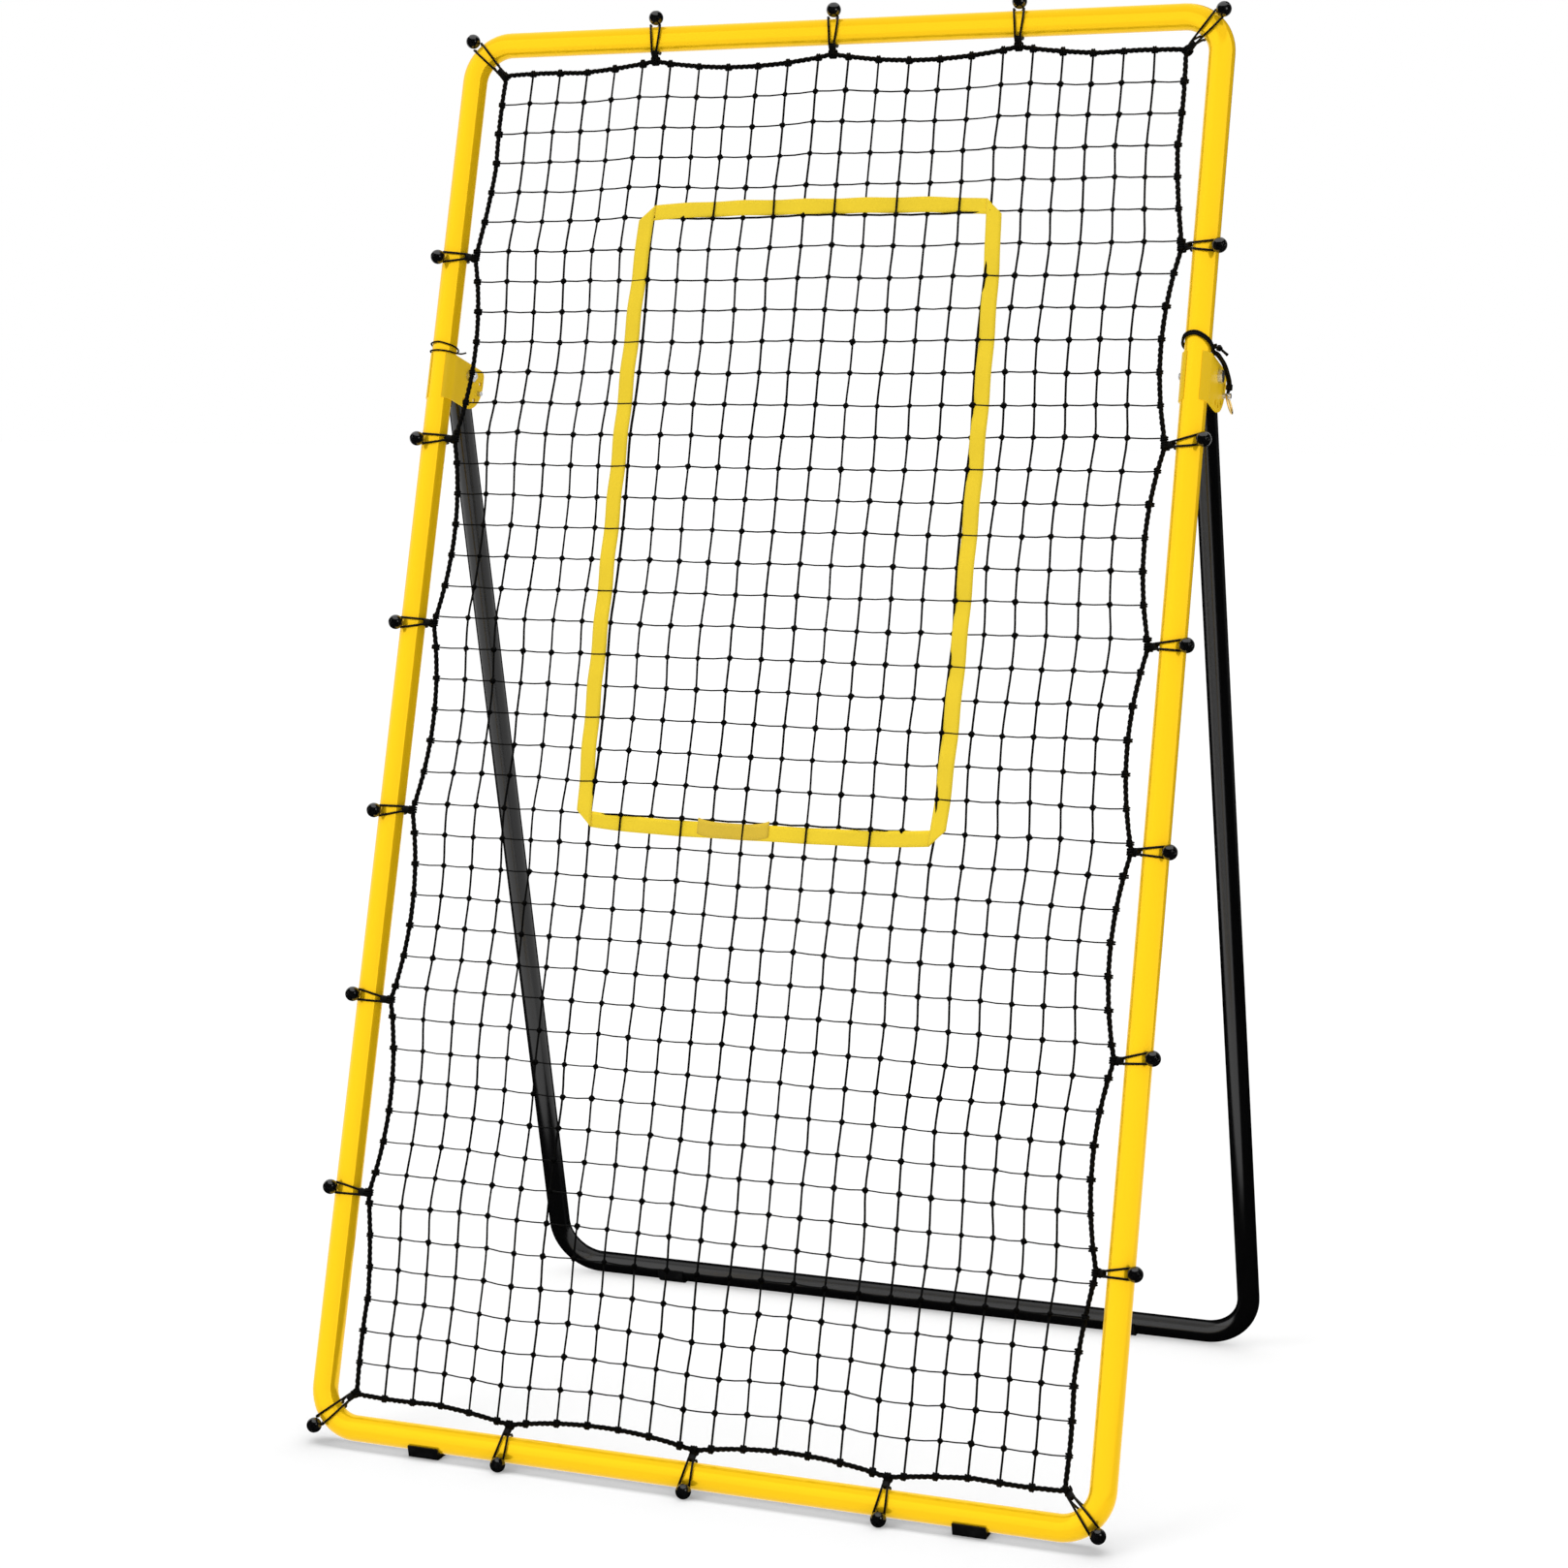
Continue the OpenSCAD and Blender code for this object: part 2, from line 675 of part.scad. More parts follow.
// Corners 1 and 2 are the upper ones, 3 and 4 the lower; odd ones are left
module bungee_corner(i) {
    right = i % 2 == 0;
    upper = i < 3;
    x = (upright_x - bend_in) * (right ? 1 : -1);
    z = upper ? top_z - bend_in : bend_in;
    away = (upper ? 1 : -1) * (right ? 45 : 135);
    tie(x, z, away, corner_turn, corner_reach);
}

// ---- Nodes ----

frame();
foot_pad(-1);  // foot_pad_left
foot_pad(1);  // foot_pad_right
ear(-1, -1);  // ear_left_inner
ear(-1, 1);  // ear_left_outer
ear(1, -1);  // ear_right_inner
ear(1, 1);  // ear_right_outer
pivot_bolt(-1);  // pivot_bolt_left
pivot_bolt(1);  // pivot_bolt_right
pivot_nut(-1);  // pivot_nut_left
pivot_nut(1);  // pivot_nut_right
lock_pin(-1);  // lock_pin_left
lock_pin(1);  // lock_pin_right
pull_ring(-1);  // pull_ring_left
pull_ring(1);  // pull_ring_right
lanyard_left();
lanyard_right();
stand();
stand_pad(-1);  // stand_pad_left
stand_pad(1);  // stand_pad_right
pivot_sleeve(-1);  // pivot_sleeve_left
pivot_sleeve(1);  // pivot_sleeve_right
leg_cap(-1);  // leg_cap_left
leg_cap(1);  // leg_cap_right
net();
border_rope();
strike_zone();
for (i = [1 : side_ties]) bungee_left(i);
for (i = [1 : side_ties]) bungee_right(i);
for (i = [1 : end_ties]) bungee_top(i);
for (i = [1 : end_ties]) bungee_bottom(i);
for (i = [1 : 4]) bungee_corner(i);
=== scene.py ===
import json
import math
import random
import bpy
import bmesh
from mathutils import Matrix, Vector, noise

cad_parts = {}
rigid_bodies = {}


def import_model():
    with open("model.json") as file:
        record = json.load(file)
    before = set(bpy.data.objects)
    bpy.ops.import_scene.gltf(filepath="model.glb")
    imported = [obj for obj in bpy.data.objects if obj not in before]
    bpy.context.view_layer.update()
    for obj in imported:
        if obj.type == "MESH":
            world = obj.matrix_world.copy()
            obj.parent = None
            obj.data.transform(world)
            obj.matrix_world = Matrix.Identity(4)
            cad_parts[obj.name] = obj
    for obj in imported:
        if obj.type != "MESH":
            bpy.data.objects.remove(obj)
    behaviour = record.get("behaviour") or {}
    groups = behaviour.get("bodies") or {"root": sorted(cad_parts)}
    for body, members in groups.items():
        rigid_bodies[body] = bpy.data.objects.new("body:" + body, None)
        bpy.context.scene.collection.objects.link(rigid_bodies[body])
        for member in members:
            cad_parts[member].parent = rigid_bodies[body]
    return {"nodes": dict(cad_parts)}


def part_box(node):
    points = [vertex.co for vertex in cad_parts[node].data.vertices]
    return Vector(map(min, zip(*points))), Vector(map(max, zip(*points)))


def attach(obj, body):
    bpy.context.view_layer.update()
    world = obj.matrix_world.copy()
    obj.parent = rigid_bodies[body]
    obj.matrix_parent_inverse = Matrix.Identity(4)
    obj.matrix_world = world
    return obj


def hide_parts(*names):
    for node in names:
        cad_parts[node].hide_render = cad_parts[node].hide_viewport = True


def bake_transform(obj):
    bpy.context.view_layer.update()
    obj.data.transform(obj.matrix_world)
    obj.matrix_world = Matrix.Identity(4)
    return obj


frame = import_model()
scene = bpy.context.scene
for stray in [o for o in scene.objects if o.name in ("Cube", "Light", "Camera")]:
    bpy.data.objects.remove(stray)
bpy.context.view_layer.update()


# ---- Studio ----
# White paper floor in a bright room, one broad key lamp from the front left and a softer
# one from behind, above the top of the net. The camera stands a little right of the middle, chest high.

scene.view_settings.view_transform = "Standard"

camera = bpy.data.objects.new("camera", bpy.data.cameras.new("camera"))
camera.data.lens = 67.476
camera.data.sensor_width = 36
camera.location = (1.1606, -3.1297, 1.1929)
camera.rotation_euler = (math.pi / 2 - 0.1390, 0, 0.3604)
scene.collection.objects.link(camera)
scene.camera = camera


def node(tree, kind, inputs=None, **settings):
    """A new shader node. Its inputs are plain values, or sockets of other nodes."""
    made = tree.nodes.new(kind)
    for name, value in settings.items():
        setattr(made, name, value)
    for name, value in (inputs or {}).items():
        if isinstance(value, bpy.types.NodeSocket):
            tree.links.new(value, made.inputs[name])
        else:
            made.inputs[name].default_value = value
    return made


def math_node(tree, operation, *values):
    made = node(tree, "ShaderNodeMath", dict(enumerate(values)), operation=operation)
    return made.outputs[0]


def seen_directly(tree):
    """1 for rays from the camera and for rays that left gloss or glass, else 0."""
    rays = node(tree, "ShaderNodeLightPath").outputs
    shiny = math_node(tree, "MAXIMUM", rays["Is Glossy Ray"], rays["Is Transmission Ray"])
    return math_node(tree, "MAXIMUM", rays["Is Camera Ray"], shiny)


room = bpy.data.worlds.new("room")
room.use_nodes = True
room.node_tree.nodes.clear()
room_light = 0.68
strength = math_node(room.node_tree, "MULTIPLY_ADD", seen_directly(room.node_tree), 1 - room_light, room_light)
air = node(room.node_tree, "ShaderNodeBackground", {"Color": (1, 1, 1, 1), "Strength": strength})
node(room.node_tree, "ShaderNodeOutputWorld", {"Surface": air.outputs[0]})
scene.world = room


def lamp(name, azimuth, height, energy, spread):
    """A distant lamp. The azimuth runs from straight in front towards the right, in degrees."""
    a, h = math.radians(azimuth), math.radians(height)
    towards = Vector((math.sin(a) * math.cos(h), -math.cos(a) * math.cos(h), math.sin(h)))
    light = bpy.data.lights.new(name, "SUN")
    light.energy = energy
    light.angle = math.radians(spread)
    made = bpy.data.objects.new(name, light)
    made.rotation_euler = (-towards).to_track_quat("-Z", "Y").to_euler()
    made.visible_glossy = False
    scene.collection.objects.link(made)
    return made


enamel_parts = bpy.data.collections.new("enamel_parts")
dark_parts = bpy.data.collections.new("dark_parts")
ball_parts = bpy.data.collections.new("ball_parts")

lamp("key_lamp", -42, 32, 0.6, 30)
back_lamp = lamp("back_lamp", 180, 74, 1.68, 26)
back_lamp.light_linking.blocker_collection = enamel_parts


def material(name):
    made = bpy.data.materials.new(name)
    made.use_nodes = True
    made.node_tree.nodes.clear()
    return made, made.node_tree


paper, tree = material("paper")
rays = node(tree, "ShaderNodeLightPath").outputs
matt = node(tree, "ShaderNodeBsdfDiffuse", {"Color": (0.8, 0.8, 0.8, 1)})
lift = node(tree, "ShaderNodeEmission", {"Color": (1, 1, 1, 1), "Strength": math_node(tree, "MULTIPLY", rays["Is Camera Ray"], 0.04)})
both = node(tree, "ShaderNodeAddShader", {0: matt.outputs[0], 1: lift.outputs[0]})
node(tree, "ShaderNodeOutputMaterial", {"Surface": both.outputs[0]})

bm = bmesh.new()
bmesh.ops.create_grid(bm, x_segments=1, y_segments=1, size=40)
floor_mesh = bpy.data.meshes.new("floor")
bm.to_mesh(floor_mesh)
bm.free()
floor = bpy.data.objects.new("floor", floor_mesh)
floor.data.materials.append(paper)
floor.visible_glossy = False
scene.collection.objects.link(floor)


def glowing(name, bm, glow, only, one_sided=False):
    """A card that only reflections see. It is black to all pieces but those of one collection."""
    mesh = bpy.data.meshes.new(name)
    bm.to_mesh(mesh)
    bm.free()
    cloth, tree = material(name)
    light = node(tree, "ShaderNodeEmission", {"Color": (1, 1, 1, 1), "Strength": glow}).outputs[0]
    if one_sided:
        behind = node(tree, "ShaderNodeNewGeometry").outputs["Backfacing"]
        clear = node(tree, "ShaderNodeBsdfTransparent").outputs[0]
        light = node(tree, "ShaderNodeMixShader", {0: behind, 1: light, 2: clear}).outputs[0]
    node(tree, "ShaderNodeOutputMaterial", {"Surface": light})
    made = bpy.data.objects.new(name, mesh)
    made.data.materials.append(cloth)
    made.visible_camera = made.visible_diffuse = made.visible_shadow = False
    made.visible_transmission = made.visible_volume_scatter = False
    scene.collection.objects.link(made)
    if only:
        made.light_linking.receiver_collection = only


def screen(name, start, end, glow, only=None):
    """A curved screen round the object, from one azimuth to another."""
    bm = bmesh.new()
    corner = Matrix.Rotation(math.radians(start), 4, "Z")
    ends = [bm.verts.new(corner @ Vector((0, -2.7, z))) for z in (-3.5, 3.9)]
    edge = bm.edges.new(ends)
    bmesh.ops.spin(bm, geom=[edge, *ends], cent=(0, 0, 0), axis=(0, 0, 1), dvec=(0, 0, 0),
                   angle=math.radians(end - start), steps=24, use_merge=False)
    glowing(name, bm, glow, only)


enamel_and_stand = bpy.data.collections.new("enamel_and_stand")
enamel_and_stand.children.link(enamel_parts)
enamel_and_stand.children.link(dark_parts)
enamel_and_balls = bpy.data.collections.new("enamel_and_balls")
enamel_and_balls.children.link(enamel_parts)
enamel_and_balls.children.link(ball_parts)

screen("back_left_screen", -180, -100, 1.0, enamel_and_balls)
screen("left_softbox", -100, 21, 1.6, enamel_and_stand)
screen("front_softbox", 21, 112, 1.6, enamel_parts)
screen("right_flag", 112, 150, 0.06)
screen("back_right_screen", 150, 180, 0.9, ball_parts)
bm = bmesh.new()
window = Matrix.Rotation(math.radians(60), 4, "Z") @ Matrix.Translation((0, -2.6, 1.6)) @ Matrix.Rotation(math.radians(80), 4, "X")
bmesh.ops.create_grid(bm, x_segments=1, y_segments=1, size=0.5, matrix=window)
glowing("small_window", bm, 1.6, enamel_and_balls)
bm = bmesh.new()
bmesh.ops.create_grid(bm, x_segments=1, y_segments=1, size=2.7, matrix=Matrix.Translation((0, 0, -0.006)))
glowing("floor_screen", bm, 1.1, enamel_parts)
bm = bmesh.new()
sheet = [bm.verts.new((x, y, -0.003)) for x, y in ((-2.6, 0.05), (-2.6, -2.6), (1.6, -2.6), (0.55, 0.05))]
bmesh.ops.contextual_create(bm, geom=sheet)
glowing("floor_sheet", bm, 1.3, enamel_and_stand)


# ---- Hoop ----
# One length of 29 mm steel tube bent four times into a rounded rectangle, its two ends
# butt welded in the bottom run, ground flush and powder coated yellow.

tube_r = 0.0145
bend_r = 0.044
lean = math.radians(16)
low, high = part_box("frame")
foot = Vector((0, low.y + tube_r, low.z + tube_r))
upright_x = high.x - tube_r
top_z = (high.z - foot.z - tube_r) / math.cos(lean)
plane = Matrix.Translation(foot) @ Matrix.Rotation(-lean, 4, "X")


def group(name, inputs, outputs):
    """A shader node group with its sockets; returns its tree, its entry and its exit."""
    kinds = {float: "NodeSocketFloat", tuple: "NodeSocketColor"}
    made = bpy.data.node_groups.new(name, "ShaderNodeTree")
    for socket, value in inputs.items():
        made.interface.new_socket(socket, in_out="INPUT", socket_type=kinds[type(value)]).default_value = value
    for socket, kind in outputs.items():
        made.interface.new_socket(socket, in_out="OUTPUT", socket_type="NodeSocket" + kind)
    return made, made.nodes.new("NodeGroupInput").outputs, made.nodes.new("NodeGroupOutput").inputs


# Powder coat: slow drift of the tone, fine orange peel and faint rub marks
powder_coat, given, out = group(
    "powder_coat", {"Colour": (0.8, 0.8, 0.8, 1), "Drift": 0.04, "Roughness": 0.25, "Peel": 0.12},
    {"Colour": "Color", "Roughness": "Float", "Normal": "Vector"})
tree = powder_coat
place = node(tree, "ShaderNodeTexCoord").outputs["Object"]
slow = node(tree, "ShaderNodeTexNoise", {"Vector": place, "Scale": 5.0, "Detail": 3.0}).outputs[0]
peel = node(tree, "ShaderNodeTexNoise", {"Vector": place, "Scale": 420.0, "Detail": 2.0}).outputs[0]
rubs = node(tree, "ShaderNodeTexNoise", {"Vector": place, "Scale": 38.0, "Detail": 6.0, "Roughness": 0.7}).outputs[0]
tone = node(tree, "ShaderNodeMapRange", {"Value": slow, "From Min": 0.3, "From Max": 0.7, "To Min": 1.0,
                                         "To Max": math_node(tree, "SUBTRACT", 1.0, given["Drift"])}).outputs[0]
tinted = node(tree, "ShaderNodeVectorMath", {0: given["Colour"], "Scale": tone}, operation="SCALE").outputs[0]
worn = math_node(tree, "MULTIPLY_ADD", rubs, 0.06, math_node(tree, "SUBTRACT", given["Roughness"], 0.03))
bump = node(tree, "ShaderNodeBump", {"Height": peel, "Strength": given["Peel"], "Distance": 0.00015}).outputs[0]
for name, value in (("Colour", tinted), ("Roughness", worn), ("Normal", bump)):
    tree.links.new(value, out[name])


def coated(name, colour, roughness, drift, peel, **plain):
    """Powder coat of one colour. The plain values go on the shader's own sockets."""
    made, tree = material(name)
    coat = node(tree, "ShaderNodeGroup", node_tree=powder_coat)
    for socket, value in (("Colour", (*colour, 1)), ("Drift", drift), ("Roughness", roughness), ("Peel", peel)):
        coat.inputs[socket].default_value = value
    shader = node(tree, "ShaderNodeBsdfPrincipled", {
        "Base Color": coat.outputs["Colour"], "Roughness": coat.outputs["Roughness"],
        "Normal": coat.outputs["Normal"], **{k.replace("_", " "): v for k, v in plain.items()}})
    node(tree, "ShaderNodeOutputMaterial", {"Surface": shader.outputs[0]})
    return made


yellow_coat = coated("yellow_coat", (1.0, 0.60, 0.007), 0.15, 0.03, 0.10, Metallic=0.30, Specular_IOR_Level=0.08)


def piece(name, mesh, body, slot, *materials, replaced=()):
    """Links a finished mesh as a piece that rides on a body."""
    made = bpy.data.objects.new(name, mesh)
    for m in materials:
        mesh.materials.append(m)
    scene.collection.objects.link(made)
    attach(made, body)
    if slot == "yellow_enamel":
        enamel_parts.objects.link(made)
    elif slot == "black_enamel":
        dark_parts.objects.link(made)
    elif slot == "ball_plastic":
        ball_parts.objects.link(made)
    elif slot in ("zinc_steel", "brassed_steel"):
        enamel_parts.objects.link(made)
        dark_parts.objects.link(made)
    if replaced:
        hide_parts(*replaced)
    return made


def as_mesh(bm, name, at=Matrix.Identity(4), smooth=True):
    """Ends a bmesh: faces outwards, put in its place, shaded smooth."""
    bmesh.ops.transform(bm, matrix=at, verts=bm.verts)
    bmesh.ops.recalc_face_normals(bm, faces=bm.faces)
    for face in bm.faces:
        face.smooth = smooth
    mesh = bpy.data.meshes.new(name)
    bm.to_mesh(mesh)
    bm.free()
    return mesh


def ring(bm, radius, sides, at):
    """A round of edges about the Z axis of a place."""
    made = bmesh.ops.create_circle(bm, segments=sides, radius=radius, matrix=at)["verts"]
    return [e for e in bm.edges if all(v in made for v in e.verts)]


def run(bm, edges, by):
    """Draws a round of edges along in a straight line."""
    made = bmesh.ops.extrude_edge_only(bm, edges=edges)["geom"]
    bmesh.ops.translate(bm, vec=by, verts=[g for g in made if isinstance(g, bmesh.types.BMVert)])
    return [g for g in made if isinstance(g, bmesh.types.BMEdge)]


def bend(bm, edges, centre, axis, degrees, steps):
    """Draws a round of edges through a bend."""
    made = bmesh.ops.spin(bm, geom=edges, cent=centre, axis=axis, dvec=(0, 0, 0),
                          angle=math.radians(degrees), steps=steps, use_merge=False)["geom_last"]
    return [g for g in made if isinstance(g, bmesh.types.BMEdge)]


bm = bmesh.new()
flat_x, flat_z = upright_x - bend_r, top_z - bend_r
first = ring(bm, tube_r, 48, Matrix.Translation((-upright_x, 0, bend_r)))
edges = run(bm, first, (0, 0, flat_z - bend_r))
edges = bend(bm, edges, (-flat_x, 0, flat_z), (0, 1, 0), 90, 14)
edges = run(bm, edges, (2 * flat_x, 0, 0))
edges = bend(bm, edges, (flat_x, 0, flat_z), (0, 1, 0), 90, 14)
edges = run(bm, edges, (0, 0, bend_r - flat_z))
edges = bend(bm, edges, (flat_x, 0, bend_r), (0, 1, 0), 90, 14)
edges = run(bm, edges, (-2 * flat_x, 0, 0))
edges = bend(bm, edges, (-flat_x, 0, bend_r), (0, 1, 0), 90, 14)
bmesh.ops.remove_doubles(bm, verts=bm.verts, dist=1e-5)
hoop = piece("hoop", as_mesh(bm, "hoop", plane), "frame", "yellow_enamel", yellow_coat, replaced=["frame"])
hoop.visible_diffuse = False


def card(name, start, end, glow, only):
    """An upright card in the hoop's middle, facing left, from one depth before the hoop to another."""
    bm = bmesh.new()
    flat = Matrix.Translation((0, (start + end) / 2, 0.8)) @ Matrix.Rotation(math.radians(-90), 4, "Y")
    bmesh.ops.create_grid(bm, x_segments=1, y_segments=1, size=1, matrix=plane @ flat @ Matrix.Diagonal((1.6, (end - start) / 2, 1, 1)))
    glowing(name, bm, glow, only, one_sided=True)


card("bright_edge", -0.235, -0.18, 2.6, enamel_parts)
card("middle_card", -0.18, 1.2, 0.9, dark_parts)


# ---- Foot pads ----
# Two moulded black plastic pads that clip under the bottom tube and keep the enamel off
# the ground. Their edges are rounded by the mould and the skin has a fine spark grain.

moulded, given, out = group(
    "moulded", {"Colour": (0.02, 0.02, 0.02, 1), "Roughness": 0.4, "Grain": 0.2},
    {"Colour": "Color", "Roughness": "Float", "Normal": "Vector"})
tree = moulded
place = node(tree, "ShaderNodeTexCoord").outputs["Object"]
grain = node(tree, "ShaderNodeTexNoise", {"Vector": place, "Scale": 1400.0, "Detail": 2.0}).outputs[0]
scuff = node(tree, "ShaderNodeTexNoise", {"Vector": place, "Scale": 90.0, "Detail": 5.0, "Roughness": 0.65}).outputs[0]
pale = node(tree, "ShaderNodeMapRange", {"Value": scuff, "From Min": 0.5, "From Max": 0.75, "To Min": 0.0, "To Max": 0.12}).outputs[0]
dusty = node(tree, "ShaderNodeMix", {"Factor": pale, 6: given["Colour"], 7: (0.06, 0.06, 0.062, 1)}, data_type="RGBA").outputs[2]
worn = math_node(tree, "MULTIPLY_ADD", scuff, 0.16, math_node(tree, "SUBTRACT", given["Roughness"], 0.08))
bump = node(tree, "ShaderNodeBump", {"Height": grain, "Strength": given["Grain"], "Distance": 0.0002}).outputs[0]
for name, value in (("Colour", dusty), ("Roughness", worn), ("Normal", bump)):
    tree.links.new(value, out[name])


def plastic(name, colour, roughness, grain, **plain):
    made, tree = material(name)
    skin = node(tree, "ShaderNodeGroup", node_tree=moulded)
    for socket, value in (("Colour", (*colour, 1)), ("Roughness", roughness), ("Grain", grain)):
        skin.inputs[socket].default_value = value
    shader = node(tree, "ShaderNodeBsdfPrincipled", {
        "Base Color": skin.outputs["Colour"], "Roughness": skin.outputs["Roughness"],
        "Normal": skin.outputs["Normal"], **{k.replace("_", " "): v for k, v in plain.items()}})
    node(tree, "ShaderNodeOutputMaterial", {"Surface": shader.outputs[0]})
    return made


pad_plastic = plastic("pad_plastic", (0.0045, 0.0045, 0.005), 0.42, 0.35, Specular_IOR_Level=0.3)


def rounded(cad_name, width, body, slot, finish, shape=None, hard=22):
    """A copy of a CAD node with the sharp edges rounded, which then stands for the node."""
    bm = bmesh.new()
    bm.from_mesh(frame["nodes"][cad_name].data)
    bmesh.ops.remove_doubles(bm, verts=bm.verts, dist=2e-6)
    if shape:
        shape(bm)
    bmesh.ops.dissolve_limit(bm, angle_limit=math.radians(0.6), verts=bm.verts, edges=bm.edges)
    sharp = [e for e in bm.edges if len(e.link_faces) == 2 and e.calc_face_angle(0) > math.radians(35)]
    bmesh.ops.bevel(bm, geom=sharp, offset=width, offset_type="OFFSET", affect="EDGES", segments=2,
                    profile=0.5, material=-1, clamp_overlap=True)
    bmesh.ops.dissolve_degenerate(bm, dist=1e-5, edges=bm.edges)
    for face in bm.faces:
        face.smooth = True
    mesh = bpy.data.meshes.new(cad_name + "_rounded")
    bm.to_mesh(mesh)
    bm.free()
    mesh.set_sharp_from_angle(angle=math.radians(hard))
    return piece(cad_name + "_rounded", mesh, body, slot, finish, replaced=[cad_name])


for side in ("left", "right"):
    rounded("foot_pad_" + side, 0.0008, "frame", "black_plastic", pad_plastic)


# ---- Ears ----
# On each upright two ears cut from 2.5 mm sheet: a flange rolled to hug the tube and a
# flat plate behind it with the pivot hole and an arc of lock holes, welded and coated.

# The ears wear the hoop's yellow coat, painted darker here as painted shade on their side-facing plates
ear_shaded_coat = coated("ear_shaded_coat", (0.86, 0.55, 0.015), 0.32, 0.05, 0.08, Specular_IOR_Level=0.03)
to_plane = plane.inverted()


def hammered(bm):
    """Thins the flange towards its edge, where it was hammered down on the tube."""
    for v in bm.verts:
        p = to_plane @ v.co
        middle = math.copysign(upright_x, p.x)
        out = Vector((p.x - middle, p.y))
        if out.length < 0.0176 and p.y < 0.002:
            thin = 1 - 0.66 * min(1, max(0, (0.002 - p.y) / 0.009))
            out *= (tube_r + max(0, out.length - tube_r) * thin) / out.length
            v.co = plane @ Vector((middle + out.x, out.y, p.z))


for side in ("left", "right"):
    for face in ("inner", "outer"):
        rounded(f"ear_{side}_{face}", 0.00025, "frame", "yellow_enamel", ear_shaded_coat, hammered)


# ---- Pivot bolts, sleeves and nuts ----
# A zinc plated hexagon bolt goes through both ears and a spacer sleeve inside the leg.
# The nut sits on the inner ear, with the end of the thread standing out of it.

plated, given, out = group(
    "plated", {"Colour": (0.7, 0.7, 0.7, 1), "Roughness": 0.25},
    {"Colour": "Color", "Roughness": "Float", "Normal": "Vector"})
tree = plated
place = node(tree, "ShaderNodeTexCoord").outputs["Object"]
bloom = node(tree, "ShaderNodeTexNoise", {"Vector": place, "Scale": 160.0, "Detail": 4.0}).outputs[0]
stretch = node(tree, "ShaderNodeMapping", {"Vector": place, "Scale": (900, 2600, 2600)}).outputs[0]
tool_marks = node(tree, "ShaderNodeTexNoise", {"Vector": stretch, "Scale": 1.0, "Detail": 2.0}).outputs[0]
tone = node(tree, "ShaderNodeMapRange", {"Value": bloom, "From Min": 0.3, "From Max": 0.7, "To Min": 0.78, "To Max": 1.05}).outputs[0]
tinted = node(tree, "ShaderNodeVectorMath", {0: given["Colour"], "Scale": tone}, operation="SCALE").outputs[0]
worn = math_node(tree, "MULTIPLY_ADD", bloom, 0.22, math_node(tree, "SUBTRACT", given["Roughness"], 0.11))
bump = node(tree, "ShaderNodeBump", {"Height": tool_marks, "Strength": 0.15, "Distance": 0.0001}).outputs[0]
for name, value in (("Colour", tinted), ("Roughness", worn), ("Normal", bump)):
    tree.links.new(value, out[name])


def metal(name, colour, roughness):
    made, tree = material(name)
    skin = node(tree, "ShaderNodeGroup", node_tree=plated)
    skin.inputs["Colour"].default_value = (*colour, 1)
    skin.inputs["Roughness"].default_value = roughness
    shader = node(tree, "ShaderNodeBsdfPrincipled", {
        "Base Color": skin.outputs["Colour"], "Roughness": skin.outputs["Roughness"],
        "Normal": skin.outputs["Normal"], "Metallic": 1.0})
    node(tree, "ShaderNodeOutputMaterial", {"Surface": shader.outputs[0]})
    return made


zinc = metal("zinc", (0.66, 0.67, 0.69), 0.28)
bolt_r = 0.004
pivot_s = 1.228
pivot_back = 0.0365
ear_out = 0.01705


def at_bracket(side):
    """X outwards from the upright's middle, Y behind it, Z up along it from the pivot's level."""
    mirror = Matrix.Diagonal((side, 1, 1, 1))
    return plane @ mirror @ Matrix.Translation((upright_x, 0, pivot_s))


def hexagon(bm, across, height, at):
    """A hexagon head or nut on Z = 0 with its upper corners turned down to a circle."""
    seat = bmesh.ops.create_circle(bm, segments=6, radius=across / math.sqrt(3))["verts"]
    edges = [e for e in bm.edges if all(v in seat for v in e.verts)]
    rim = bmesh.ops.subdivide_edges(bm, edges=edges, cuts=5)["geom_split"]
    rim = [g for g in rim if isinstance(g, bmesh.types.BMEdge)]
    upper = run(bm, rim, (0, 0, height))
    corners = {v for e in upper for v in e.verts}
    for v in corners:
        v.co.z -= max(0, v.co.to_2d().length - 0.49 * across) * 0.55
    inner = run(bm, upper, (0, 0, 0))
    crown = {v for e in inner for v in e.verts}
    for v in crown:
        flat = v.co.to_2d().normalized() * 0.46 * across
        v.co = (flat.x, flat.y, height)
    bmesh.ops.contextual_create(bm, geom=inner)
    bmesh.ops.contextual_create(bm, geom=rim)
    made = {v for e in [*rim, *upper, *inner] for v in e.verts}
    bmesh.ops.transform(bm, matrix=at, verts=list(made))


def lathe(bm, profile, steps, at):
    """Turns a profile of (radius, height) about Z; a profile that ends on the axis closes there."""
    verts = [bm.verts.new((r, 0, z)) for r, z in profile]
    edges = [bm.edges.new(pair) for pair in zip(verts, verts[1:])]
    bmesh.ops.spin(bm, geom=[*verts, *edges], cent=(0, 0, 0), axis=(0, 0, 1), dvec=(0, 0, 0),
                   angle=2 * math.pi, steps=steps, use_merge=True)
    linked = set(verts)
    front = list(verts)
    while front:
        v = front.pop()
        for e in v.link_edges:
            other = e.other_vert(v)
            if other not in linked:
                linked.add(other)
                front.append(other)
    bmesh.ops.remove_doubles(bm, verts=list(linked), dist=1e-6)
    linked = [v for v in linked if v.is_valid]
    bmesh.ops.transform(bm, matrix=at, verts=linked)


